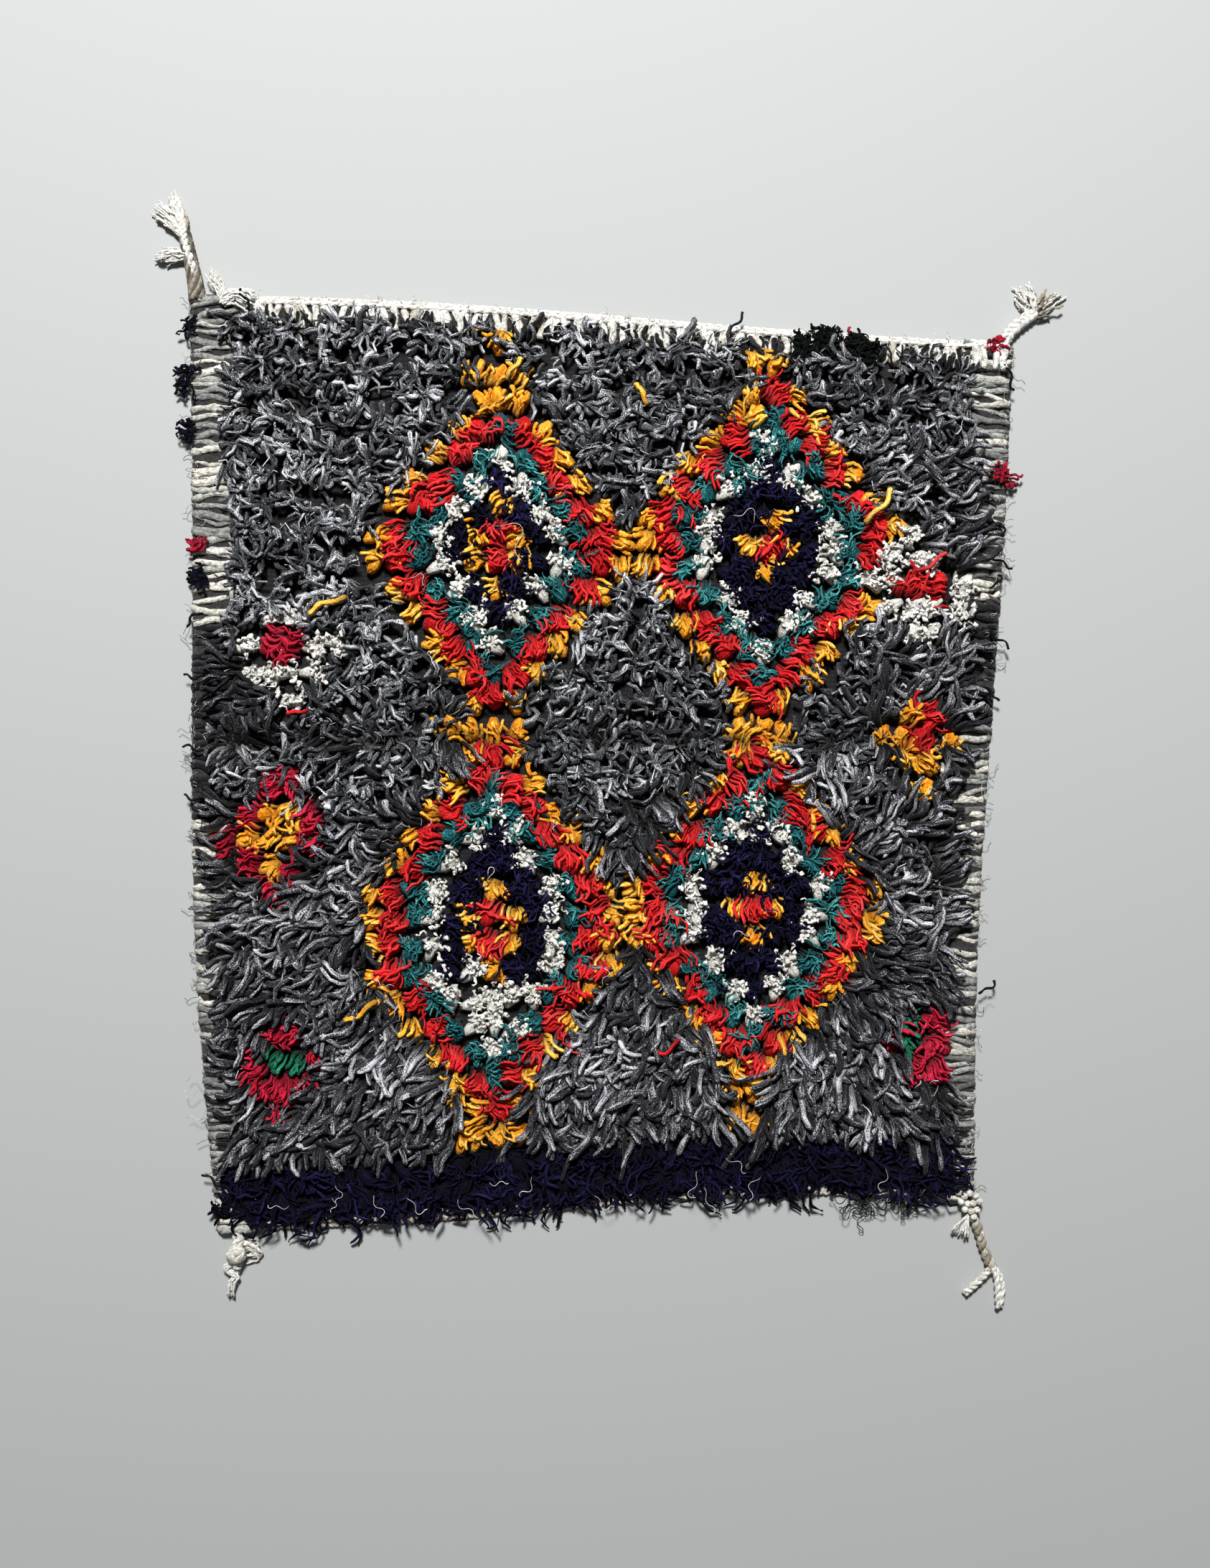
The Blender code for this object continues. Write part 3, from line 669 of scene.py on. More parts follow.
def tufts(spot, lay, tone, yarn, fate):
    """The strips of many knots, as one batch for piece(). yarn is one row of sizes, in metres.

    A knot opens into a few locks, which fan out. The strips of a lock lie side by side and share its
    heading, length, bend and waves, each but for a little of its own, which is loose. half is a strip's
    half width, flat its thickness as a share of that, and girth how strips differ. back is how far behind
    its knot a lock starts, as a share of its length. bead and knob are the even and uneven lumps.
    """
    locks, strips, rings, loose = yarn["locks"], yarn["strips"], yarn["rings"], yarn["loose"]
    groups, count = len(spot) * locks, len(spot) * locks * strips
    fan = np.tile(np.linspace(-1, 1, locks), len(spot)) + fate.normal(0, 0.3, groups)
    lay = np.repeat(lay, locks) + yarn["fan"] * fan
    along = np.stack([np.cos(lay), np.sin(lay)], 1)
    beside = along[:, ::-1] * (-1, 1)
    length, rise = fate.uniform(*yarn["length"], groups), fate.uniform(*yarn["rise"], groups)
    # Locks start behind their knot, so that they lie over it
    back = length * fate.uniform(*yarn["back"], groups)
    foot = np.repeat(spot, locks, 0) - along * back[:, None] + beside * (fan * yarn["spread"])[:, None]
    own = np.tile(np.linspace(-0.5, 0.5, strips), groups) + fate.normal(0, 0.10, count)
    aside = own * 1.6 * strips * yarn["half"]
    root = np.repeat(foot, strips, 0) + np.repeat(beside, strips, 0) * aside[:, None]
    root = np.concatenate([root, np.full((count, 1), PILE_ROOT)], 1)
    waves = np.repeat(fate.uniform(0, 2 * np.pi, groups), strips) + fate.normal(0, 1.6 * loose, count)
    bend = np.repeat(fate.normal(0, yarn["bend"], groups), strips) + fate.normal(0, loose, count)
    length = np.repeat(length, strips) * fate.uniform(0.82, 1.1, count)
    paths = laid(root, np.repeat(lay, strips) + fate.normal(0, loose, count), length,
                 np.repeat(rise, strips) * fate.uniform(0.88, 1.1, count), bend, yarn["wobble"], waves,
                 fate.uniform(0.0, yarn["dip"], count), rings)
    beads = 1 + yarn["bead"] * np.cos(np.pi * np.arange(rings)) + fate.normal(0, yarn["knob"], (count, rings))
    beads = beads * np.where(np.arange(rings) == rings - 1, 0.5, 1.0)
    beads = beads * fate.uniform(*yarn["girth"], (count, 1))
    thick = yarn["half"] * yarn["flat"] * beads
    paths = settled(paths, thick)
    roll = fate.uniform(0, np.pi, (count, 1)) + fate.normal(0, 1.2, (count, 1)) * np.linspace(0, 1, rings)
    shade = 0.25 * tone + 0.15 * fate.uniform(0, 1, len(spot))
    lot = np.repeat(shade, locks * strips) + 0.06 + 0.50 * fate.beta(1.1, 1.3, count)
    return yarns(paths, yarn["half"] * beads, thick, roll, yarn["sides"], np.clip(lot, 0, 1))


# A heart's half length, the height of its ends and how much more at its middle, and its half thickness
HEART_HALF, HEART_LOW, HEART_ARCH, HEART_RISE = 0.0100, 0.0078, 0.0012, 0.0040


def bundles(where, half, fate):
    """The fat heart of each tuft, under its strips: one short thick lump for each knot."""
    spot, lay = knot[where], lie[where]
    count = len(spot)
    share = np.linspace(-1, 1, 4)
    along = np.stack([np.cos(lay), np.sin(lay)], 1)
    flat = spot[:, None] + along[:, None] * (share * HEART_HALF)[None, :, None]
    height = HEART_LOW + HEART_ARCH * (1 - share ** 2) + fate.normal(0, 0.0005, (count, 4))
    height = height - FOLD_DIP * near_fold[where, None]
    paths = np.concatenate([flat, height[..., None]], -1)
    swell = np.sqrt(1 - (share * 0.85) ** 2) * (1 + fate.normal(0, 0.08, (count, 4)))
    return yarns(paths, half * swell, HEART_RISE * swell, 0.0, 6, fate.uniform(0.1, 0.5, count))


# From the bed of the pile up to the height where the painted shade of the deep shag ends and its strips have
# their full colour
SHAG_DEPTH = 0.0095


def rag_fibre(name, deep, body, light, nub, fold, sheen, root, deepest_shade=0.65, bed=0.0075, flecks_and_fold_shade=0.38):
    """Dyed strips and yarn: matt fibre with a soft sheen, and painted shade that darkens it down at the knot
    and low in the pile.

    Colour runs from deep to light with the strip's lot and with speckles that follow the bump, so that they
    are partly painted shade in its folds and between its nubs. nub and fold are the sizes in millimetres of
    its nubs and of the folds that run along it, root is how far the painted shade darkens it at its foot,
    deepest_shade how far the painted shade darkens it low down in the pile, at the height bed, and
    flecks_and_fold_shade how strong its speckles and their painted fold shade are.
    """
    material, tree, shader = fibre_material(name, Roughness=0.85, Specular_IOR_Level=0.12,
                                            Sheen_Weight=sheen, Sheen_Roughness=0.45)
    yarn = add(tree, "UVMap", {"uv_map": "yarn"})
    lot = add(tree, "Attribute", {"attribute_name": "lot"})
    along = add(tree, "Attribute", {"attribute_name": "along"})
    nubs = add(tree, "TexNoise", {"Scale": 1000 / nub, "Detail": 2.0}, {"Vector": yarn})
    drawn = add(tree, "Mapping", {"Scale": (1000 / fold, 130 / fold, 1)}, {"Vector": yarn})
    folds = add(tree, "TexNoise", {"Scale": 1.0, "Detail": 2.0}, {"Vector": drawn})
    texture = add(tree, "Math", {"operation": "ADD"}, {0: nubs, 1: folds})
    # Speckles that follow the bump's height: partly a random tone, partly painted shade in the folds and
    # between the nubs
    fleck_and_fold_shade = add(tree, "MapRange", {"From Min": 0.78, "From Max": 1.22, "To Min": -flecks_and_fold_shade, "To Max": flecks_and_fold_shade,
                                             "clamp": False}, {"Value": texture})
    tone = add(tree, "Math", {"operation": "ADD", "use_clamp": True},
               {0: lot.outputs["Fac"], 1: fleck_and_fold_shade})
    tint = add(tree, "ValToRGB", {}, {"Fac": tone})
    stops = tint.color_ramp.elements
    stops[0].color, stops[1].color = linear(deep), linear(light)
    stops.new(0.5).color = linear(body)
    # Painted shade: the colour darkens towards the strip's foot, where it lies in the shade of the others
    shadow = add(tree, "MapRange", {"From Min": 0.1, "From Max": 0.75, "To Min": root, "To Max": 1.0},
                 {"Value": along.outputs["Fac"]})
    # Painted shade: below the height bed plus SHAG_DEPTH the colour darkens, as if shaded by the strips above
    spot = add(tree, "TexCoord", {})
    height = add(tree, "SeparateXYZ", {}, {0: spot.outputs["Object"]})
    depth_shade = add(tree, "MapRange", {"From Min": bed, "From Max": bed + SHAG_DEPTH, "To Min": deepest_shade,
                                       "To Max": 1.08}, {"Value": height.outputs["Z"]})
    dark = add(tree, "Math", {"operation": "MULTIPLY"}, {0: shadow, 1: depth_shade})
    colour = add(tree, "VectorMath", {"operation": "SCALE"},
                 {0: tint, "Scale": dark})
    bump = add(tree, "Bump", {"Strength": 1.0, "Distance": 0.0009}, {"Height": texture})
    tree.links.new(colour.outputs[0], shader.inputs["Base Color"])
    tree.links.new(bump.outputs[0], shader.inputs["Normal"])
    return material


def pile_piece(name, material, *batches):
    """A piece of the pile: it rides with the mat and stands in for a share of the lumpy slab."""
    made = piece(name, material, *batches)
    fit(made, "pile_ground")


# Ruffled grey pile
# Narrow strips of worn grey jersey, cut short and left standing: knobby, frayed and pointing every way.
# They fill the upper half. Two pieces, to keep each one a handy size.

RUFFLED = dict(locks=4, strips=3, half=0.0019, flat=0.75, girth=(0.55, 1.3), length=(0.016, 0.030),
               rise=(0.013, 0.025), spread=0.0085, fan=1.2, bend=1.5, wobble=0.5, loose=0.5,
               back=(0.25, 0.50), dip=0.6, bead=0.0, knob=0.16, rings=6, sides=4)
worn_jersey = rag_fibre("worn_jersey", "#08090b", "#4a4c52", "#f6f8fe", nub=1.0, fold=1.5,
                        sheen=0.1, root=0.03, deepest_shade=0.12, bed=0.0080, flecks_and_fold_shade=0.32)
fate = np.random.default_rng(51)
# Frayed threads of the same rags, thin and curling, which are paler and catch the light
PALER = 1.2
FRAYED = dict(RUFFLED, locks=2, strips=1, half=0.00045, length=(0.012, 0.026), rise=(0.016, 0.027),
              bend=2.8, wobble=1.2, loose=1.2)
for number, side in ((1, knot_u < 0.5), (2, knot_u >= 0.5)):
    spot, lay, tone = knots((dyed == "ruffled") & side)
    pile_piece(f"ruffled_grey_pile_{number}", worn_jersey, tufts(spot, lay, tone, RUFFLED, fate),
               tufts(spot, lay, tone + PALER, FRAYED, fate))

# Dark tips that stand up between the cords of the heading, with a thick tuft near the left
TIP_COUNT, EXTRA_TIPS = 46, (0.232, 0.240, 0.248, 0.256, 0.240, 0.985, 0.990)
place = np.append((np.arange(TIP_COUNT) + fate.uniform(0.1, 0.9, TIP_COUNT)) / TIP_COUNT, EXTRA_TIPS)
foot = plan(SELVEDGE_U + INNER * place, 1 - HEADING_V * fate.uniform(1.0, 1.35, len(place)))
TIPS = dict(RUFFLED, locks=1, strips=2, length=(0.014, 0.028), rise=(0.006, 0.012), spread=0.0, fan=0.0,
            bend=0.5, loose=0.22, back=(0.15, 0.30))
upwards = np.pi / 2 + fate.normal(0, 0.4, len(place))
pile_piece("heading_tips", worn_jersey, tufts(foot, upwards, 0 * place - 1.0, TIPS, fate))


# Combed grey pile
# Longer and wider strips of the same greys, smoother and flatter, lying down and out to the edges. They
# fill the lower half and the right-hand side.

COMBED = dict(RUFFLED, half=0.0022, flat=0.7, girth=(0.65, 1.2), length=(0.026, 0.044), fan=0.5, bend=0.8,
              wobble=0.40, loose=0.20, back=(0.25, 0.45), dip=0.55, knob=0.10, rings=7)
soft_jersey = rag_fibre("soft_jersey", "#07080a", "#36373d", "#eeeff7", nub=1.1, fold=1.7,
                        sheen=0.1, root=0.03, deepest_shade=0.06, bed=0.0105, flecks_and_fold_shade=0.28)
fate = np.random.default_rng(52)
for number, side in ((1, knot_v < 0.25), (2, knot_v >= 0.25)):
    spot, lay, tone = knots((dyed == "combed") & side)
    yarn = dict(COMBED, half=0.0024, bend=0.6, wobble=0.3) if number == 1 else COMBED
    pile_piece(f"combed_grey_pile_{number}", soft_jersey, tufts(spot, lay, tone, yarn, fate),
               tufts(spot, lay, tone + PALER, FRAYED, fate))
# Some of the last grey strips are longer and hang over the navy band
OVERHANG = dict(COMBED, locks=1, half=0.0023, length=(0.030, 0.052), bend=0.4, wobble=0.25, back=(0.0, 0.1))
spot, lay, tone = knots((knot_row == NAVY_ROWS) & (fate.uniform(0, 1, len(knot)) < 0.55))
pile_piece("overhanging_grey_strips", soft_jersey,
           tufts(spot, -np.pi / 2 + 0.6 * (lay + np.pi / 2), tone, OVERHANG, fate))


# Orange-yellow pile
# Fat soft strips of cotton jersey, rolled in on themselves, up to nine to a knot. Bright yellow, with
# painted shade that turns them burnt orange in the folds and down in the pile.

YELLOW = dict(locks=3, strips=3, half=0.0020, flat=0.72, girth=(0.7, 1.2), length=(0.014, 0.024),
              rise=(0.012, 0.019), spread=0.0046, fan=0.35, bend=0.9, wobble=0.45, loose=0.2,
              back=(0.40, 0.60), dip=0.8, bead=0.0, knob=0.15, rings=7, sides=3)
marigold = rag_fibre("marigold_jersey", "#d8780c", "#ffb42a", "#ffe07a", nub=2.0, fold=1.8,
                     sheen=0.05, root=0.4)
fate = np.random.default_rng(53)


def dyed_pile(name, dye, yarn, shade, heart, fate):
    """The tufts of all the knots of one shade, each over its fat heart, which is this wide by half."""
    where = dyed == shade
    pile_piece(name, dye, tufts(*knots(where), yarn, fate), bundles(where, heart, fate))


dyed_pile("yellow_pile", marigold, YELLOW, "yellow", 0.0058, fate)


# Red pile
# Fine soft yarn, a dozen and more ends to a knot, lying side by side in crimped locks.

RED = dict(locks=3, strips=6, half=0.00140, flat=0.85, girth=(0.75, 1.2), length=(0.020, 0.031),
           rise=(0.014, 0.021), spread=0.0062, fan=0.3, bend=0.8, wobble=0.8, loose=0.12, back=(0.35, 0.60),
           dip=0.9, bead=0.0, knob=0.14, rings=7, sides=3)
scarlet = rag_fibre("scarlet_yarn", "#980810", "#ea161e", "#ff5456", nub=1.0, fold=0.8,
                    sheen=0.05, root=0.40)
fate = np.random.default_rng(54)
dyed_pile("red_pile", scarlet, RED, "red", 0.0080, fate)
crimson = rag_fibre("crimson_yarn", "#74041a", "#c80c34", "#f23a60", nub=1.0, fold=0.8,
                    sheen=0.05, root=0.40)
dyed_pile("crimson_pile", crimson, dict(RED, length=(0.016, 0.026)), "crimson", 0.0080, fate)


# Teal and green pile
# Teal acrylic yarn, unravelled from knitwear, so that its thin threads keep their curl and swirl round in
# each tuft. The two lowest side diamonds have a few fat strips of green jersey.

TEAL = dict(locks=4, strips=5, half=0.00100, flat=0.9, girth=(0.7, 1.2), length=(0.016, 0.027),
            rise=(0.011, 0.018), spread=0.0052, fan=1.0, bend=2.8, wobble=0.8, loose=0.3, back=(0.30, 0.55),
            dip=0.5, bead=0.0, knob=0.14, rings=8, sides=3)
unravelled = rag_fibre("unravelled_teal", "#04343c", "#0c6c74", "#62c6c0", nub=1.2, fold=0.6,
                       sheen=0.08, root=0.2)
fate = np.random.default_rng(55)
dyed_pile("teal_pile", unravelled, TEAL, "teal", 0.0070, fate)
green = rag_fibre("green_jersey", "#04352a", "#0d6a4c", "#2f9a72", nub=1.6, fold=1.4,
                  sheen=0.05, root=0.3)
pile_piece("green_pile", green, tufts(*knots(dyed == "green"), YELLOW, fate))


# White pile
# Looped woollen yarn, chopped and felted into tight nubs like popcorn.

WHITE = dict(locks=5, strips=4, half=0.0015, flat=0.95, girth=(0.6, 1.3), length=(0.012, 0.019),
             rise=(0.015, 0.023), spread=0.0066, fan=1.6, bend=3.4, wobble=1.6, loose=1.2,
             back=(0.20, 0.50), dip=0.8, bead=0.35, knob=0.25, rings=8, sides=3)
popcorn = rag_fibre("popcorn_wool", "#b6b4ac", "#edebe4", "#fffefc", nub=1.4, fold=1.4,
                    sheen=0.1, root=0.45, deepest_shade=0.75)
fate = np.random.default_rng(56)
dyed_pile("white_pile", popcorn, WHITE, "white", 0.0054, fate)


# Navy and black pile
# Fuzzy navy knitting wool round the hearts of the lozenges and in the last rows, where its tips hang over
# the end. A patch of near-black green wool fills in at the top.

NAVY = dict(locks=5, strips=4, half=0.00125, flat=0.9, girth=(0.7, 1.2), length=(0.015, 0.026),
            rise=(0.015, 0.023), spread=0.0070, fan=1.2, bend=2.0, wobble=0.9, loose=0.6, back=(0.30, 0.55),
            dip=0.7, bead=0.16, knob=0.18, rings=7, sides=3)
ink = rag_fibre("navy_knitting_wool", "#010108", "#0b0926", "#2c265a", nub=1.2, fold=1.0,
                sheen=0.0, root=0.25, deepest_shade=0.4)
soot = rag_fibre("black_knitting_wool", "#010202", "#080d0c", "#1d2925", nub=1.2, fold=1.0,
                 sheen=0.0, root=0.2)
fate = np.random.default_rng(57)
navy = dyed == "navy"
# The last rows are long enough to hang over the woven end
HANGING = dict(NAVY, locks=6, strips=4, half=0.0013, length=(0.024, 0.046), rise=(0.008, 0.017), fan=0.7,
               bend=1.8, loose=0.45, dip=1.2, bead=0.25, back=(0.0, 0.20))
pile_piece("navy_pile", ink, tufts(*knots(navy & ~last), NAVY, fate), tufts(*knots(last), HANGING, fate),
           bundles(navy, 0.0066, fate))
# The black patch climbs over the heading
across, up = (a.ravel() for a in np.meshgrid(np.linspace(0.738, 0.820, 8), np.linspace(0.25, 1.0, 4)))
foot = plan(across + fate.normal(0, 0.004, across.size), 1 - up * HEADING_V)
CLIMBING = dict(NAVY, locks=4, length=(0.010, 0.016), rise=(0.009, 0.015))
pile_piece("black_pile", soot, tufts(*knots(dyed == "black"), NAVY, fate),
           tufts(foot, np.pi / 2 + fate.normal(0, 1.2, across.size), 0 * across, CLIMBING, fate))


# Loose threads and stray bits
# Ends that came astray in the knotting: navy and red bits caught in the edges, fat strips that lie across
# the grey, pale threads that curl over the dark yarns, and black hooks at the selvedges.

# Yarn and its material: then x, y, heading in degrees and length of each
STRAY_BITS = (
    ("navy_bits", ink, NAVY, ((-0.335, 0.361, 170), (-0.336, 0.323, 200), (-0.337, 0.312, 180),
                              (-0.333, 0.282, 160), (-0.332, 0.272, 200), (-0.328, 0.161, 180),
                              (-0.325, 0.156, 200), (-0.3, -0.342, 200), (-0.308, -0.352, 215))),
    ("red_bits", crimson, RED, ((0.206, 0.352, 60), (-0.325, 0.1856, 180), (0.326, 0.244, 20),
                                (0.334, 0.233, -60), (0.323, 0.342, -40))),
)
for name, dye, yarn, rows in STRAY_BITS:
    x, y, heading = np.array(rows).T
    small = dict(yarn, locks=4, strips=3, length=(0.007, 0.016), rise=(0.003, 0.008), fan=1.0)
    pile_piece(name, dye, tufts(np.stack([x, y], 1), np.radians(heading), 0 * x, small, fate))


def loose_threads(name, dye, half, curl, fate, rows):
    """A piece of single curled threads: each row is x, y, z, heading in degrees and length."""
    x, y, z, heading, length = np.array(rows).T
    bend = fate.normal(0, curl, len(x))
    paths = laid(np.stack([x, y, z], 1), np.radians(heading), length, 0.1 * length, bend, curl,
                 fate.uniform(0, 6.3, len(x)), np.full(len(x), 0.14), 16)
    girth = half * (1 + fate.normal(0, 0.12, paths.shape[:2]))
    lot = fate.uniform(0.4, 0.9, len(x))
    pile_piece(name, dye, yarns(above_floor(paths, girth), girth, girth * 0.8, 0.0, 4, lot))


# The height of the top of the shag
ABOVE = 0.0215
over_navy = fate.uniform((-0.27, -0.345, 0.017, 200, 0.016), (0.25, -0.315, 0.02, 340, 0.03), (14, 5))
over_navy[:, 1] += 0.02 * (over_navy[:, 0] + 0.27) / 0.52
loose_threads("loose_white_threads", popcorn, 0.0002, 1.3, fate, (
    *over_navy, (-0.082, 0.198, ABOVE, -8, 0.055), (-0.149, 0.1566, ABOVE, 15, 0.022),
    (0.0046, -0.168, ABOVE, 70, 0.02), (-0.1607, -0.168, ABOVE, 160, 0.02), (-0.09, -0.09, ABOVE, 30, 0.03),
    (0.13, -0.12, ABOVE, 200, 0.03), (0.125, 0.2, ABOVE, 100, 0.03), (-0.309, -0.255, 0.01, 190, 0.03),
    (-0.309, -0.245, 0.009, 175, 0.026), (-0.308, -0.266, 0.01, 205, 0.028),
    (0.306, -0.182, 0.01, 20, 0.018)))
loose_threads("loose_yellow_strips", marigold, 0.0022, 0.5, fate, (
    (0.2134, 0.2001, 0.02, 45, 0.037), (-0.2, 0.142, 0.019, 200, 0.034), (-0.072, 0.315, 0.019, 60, 0.022),
    (-0.175, -0.18, 0.019, 215, 0.032), (0.04, 0.295, 0.019, 120, 0.02)))
loose_threads("loose_red_strips", scarlet, 0.0016, 0.5, fate, (
    (0.254, 0.1624, 0.0195, 20, 0.03), (-0.23, 0.052, 0.0195, 200, 0.018),
    (0.065, -0.21, 0.0195, 240, 0.028)))
# Dark hooks at the edges, and a grey tangle that hangs out at the bottom right
tangle = fate.uniform((0.195, -0.352, 0.003, 160, 0.018), (0.262, -0.34, 0.008, 380, 0.036), (40, 5))
tangle[:, 1] += 0.012 * (tangle[:, 0] - 0.195) / 0.067
loose_threads("loose_black_threads", soot, 0.001, 0.9, fate, (
    (0.315, 0.174, 0.0105, -30, 0.022), (0.315, 0.116, 0.0105, -50, 0.024),
    (0.316, 0.204, 0.0105, -20, 0.02), (0.315, 0.15, 0.0105, 10, 0.018), (-0.298, -0.33, 0.01, 160, 0.024),
    (0.1064, 0.35, 0.012, 75, 0.026), (-0.278, 0.37, 0.012, 110, 0.024), (-0.314, 0.08, 0.0105, 190, 0.02),
    (-0.315, 0.02, 0.0105, 170, 0.02), (-0.316, 0.13, 0.0105, 200, 0.02),
    (-0.314, -0.02, 0.0105, 170, 0.02), (0.306, -0.175, 0.01, 20, 0.02), (0.308, 0.07, 0.01, -10, 0.02),
    (0.326, 0.33, 0.01, -70, 0.026)))
loose_threads("loose_navy_threads", ink, 0.0005, 1.0, fate, (
    (-0.07, 0.17, ABOVE, 250, 0.034), (0.14, 0.21, ABOVE, 230, 0.03), (-0.1, 0.21, ABOVE, 120, 0.024),
    (-0.075, -0.1, ABOVE, 60, 0.03), (0.13, -0.09, ABOVE, 280, 0.03)))
loose_threads("loose_grey_threads", soft_jersey, 0.0004, 2.0, fate, tangle)


# Top left tassel
# The first warps run on past the corner, plaited flat with tan-grey wool. One white strand winds over the
# plait, a fluffy lock leaves its side, and it ends in a fan of unravelled strands.

TASSEL_GAP = 0.0002


def route(points, count):
    """A smooth path through given points: a Catmull-Rom curve, with count points."""
    points = np.array(points, float)
    ends = np.concatenate([2 * points[:1] - points[1:2], points, 2 * points[-1:] - points[-2:-1]])
    t = np.linspace(0, len(points) - 1, count)
    i = np.minimum(t.astype(int), len(points) - 2)
    f = (t - i)[:, None]
    a, b, c, d = ends[i], ends[i + 1], ends[i + 2], ends[i + 3]
    return 0.5 * (2 * b + (c - a) * f + (2 * a - 5 * b + 4 * c - d) * f ** 2 + (3 * b - a - 3 * c + d) * f ** 3)


def plies(points, count, half, wide, tall, turns, lots, fate, plait=False, rings=48):
    """Plies that wind round a route, or plait along it: each swings across it and up and down.

    A plait's plies rise and dip twice for each swing across, and a twist's once.
    """
    middle = route(points, rings)
    run = np.gradient(middle[:, :2], axis=0)
    across = np.stack([-run[:, 1], run[:, 0]], 1) / np.linalg.norm(run, axis=1, keepdims=True)
    phase = np.arange(count)[:, None] / count * 2 * np.pi + np.linspace(0, turns * 2 * np.pi, rings)
    paths = np.repeat(middle[None], count, 0)
    paths[..., :2] += across * (wide * np.cos(phase))[..., None]
    paths[..., 2] += tall * np.sin(phase * (2 if plait else 1))
    girth = half * (1 + fate.normal(0, 0.07, (count, rings)))
    return yarns(above_floor(paths, girth, TASSEL_GAP), girth, girth, 0.0, 8, np.array(lots, float))


def wisps(points, count, half, spread, splay, lot, fate, rings=12):
    """A loose lock: many thin strands along a route, each at its own place in it, frayed at the end."""
    middle = route(points, rings)
    share = np.linspace(0, 1, rings)
    aside = fate.normal(0, 1, (count, 1, 3)) * spread * (0.6 + splay * share)[None, :, None]
    crimp = np.cumsum(fate.normal(0, spread * 0.3, (count, rings, 3)), 1)
    cut = fate.uniform(0.8, 1.0, (count, 1, 1))
    paths = middle[0] + (middle[None] - middle[0]) * cut + aside * (1, 1, 0.6) + crimp * (1, 1, 0.5)
    girth = half * np.linspace(1.2, 0.9, rings) * (1 + fate.normal(0, 0.14, (count, rings)))
    lots = np.clip(lot + fate.normal(0, 0.08, count), 0, 1)
    return yarns(above_floor(paths, girth, TASSEL_GAP), girth, girth, 0.0, 5, lots)


def tassel(name, *batches):
    """A tassel: it rides with the mat and replaces the tassel of the same name."""
    fit(piece(f"{name}_yarns", cotton, *batches), name)


fate = np.random.default_rng(61)
PLAIT = ((-0.3205, 0.385, 0.0042), (-0.324, 0.402, 0.0044), (-0.3285, 0.42, 0.0042), (-0.333, 0.437, 0.0036))
TAPER = np.linspace(1.0, 0.6, 48)
tassel(
    "tassel_top_left",
    plies(((-0.3215, 0.383, 0.006), (-0.3235, 0.396, 0.006), (-0.3275, 0.414, 0.0055),
           (-0.3325, 0.433, 0.0044)), 9, 0.0021 * TAPER, 0.0052 * TAPER, 0.002, 1.0,
          (0.95, 0.7, 1.0, 0.8, 0.9, 0.75, 1.0, 0.85, 0.65), fate),
    plies(PLAIT, 3, 0.0024, 0.0034, 0.0013, 2.6, (0.95, 0.85, 1.0), fate, plait=True),
    plies(((-0.3232, 0.403, 0.0075), (-0.3275, 0.417, 0.009), (-0.3315, 0.43, 0.008),
           (-0.3335, 0.44, 0.0055)), 2, 0.0018, 0.0014, 0.0012, 3.2, (0.0, 0.1), fate),
    wisps(((-0.333, 0.433, 0.005), (-0.344, 0.443, 0.0048), (-0.354, 0.45, 0.0034)), 26, 0.0007, 0.0015,
          0.5, 0.2, fate),
    wisps(((-0.3335, 0.437, 0.0058), (-0.343, 0.4505, 0.0058), (-0.353, 0.4585, 0.004)), 34, 0.0007, 0.0017,
          0.6, 0.03, fate),
    wisps(((-0.3335, 0.438, 0.0055), (-0.3365, 0.454, 0.0058), (-0.341, 0.4685, 0.0042)), 30, 0.0007, 0.0014,
          0.3, 0.12, fate),
    wisps(((-0.3325, 0.437, 0.005), (-0.332, 0.446, 0.005), (-0.333, 0.453, 0.0035)), 20, 0.0007, 0.0014,
          0.4, 0.55, fate),
    wisps(((-0.33, 0.4185, 0.005), (-0.342, 0.4185, 0.0054), (-0.3545, 0.417, 0.004)), 40, 0.0007, 0.0021,
          0.3, 0.08, fate),
    # A pale wisp and a lump of white yarn, where the plait meets the heading
    wisps(((-0.299, 0.383, 0.009), (-0.305, 0.394, 0.008), (-0.311, 0.404, 0.006)), 16, 0.0006, 0.0018,
          0.2, 0.15, fate),
    wisps(((-0.3, 0.38, 0.009), (-0.29, 0.386, 0.01), (-0.278, 0.38, 0.0085)), 44, 0.0009, 0.003,
          0.2, 0.03, fate),
)


# Top right tassel
# A short cream braid at the other top corner, ending in a white tuft that stands left and a tan one right.

fate = np.random.default_rng(62)
tassel(
    "tassel_top_right",
    plies(((0.3265, 0.347, 0.0042), (0.334, 0.358, 0.0046), (0.344, 0.3665, 0.0044), (0.353, 0.373, 0.004)),
          3, 0.0025, 0.0028, 0.0016, 2.8, (0.1, 0.18, 0.05), fate, plait=True),
    wisps(((0.35, 0.371, 0.0045), (0.347, 0.381, 0.005), (0.3425, 0.389, 0.0035)), 24, 0.001, 0.0026,
          1.1, 0.03, fate),
    wisps(((0.352, 0.372, 0.0045), (0.36, 0.379, 0.005), (0.364, 0.385, 0.004)), 14, 0.001, 0.0024,
          0.9, 0.75, fate),
    wisps(((0.352, 0.3725, 0.0045), (0.362, 0.38, 0.0045), (0.3725, 0.3885, 0.0028)), 10, 0.0009, 0.0014,
          0.5, 0.2, fate),
)


# Bottom left tassel
# A ball knot of cream cord with a short loop at its side, and a fluffy kinked end hanging from it.

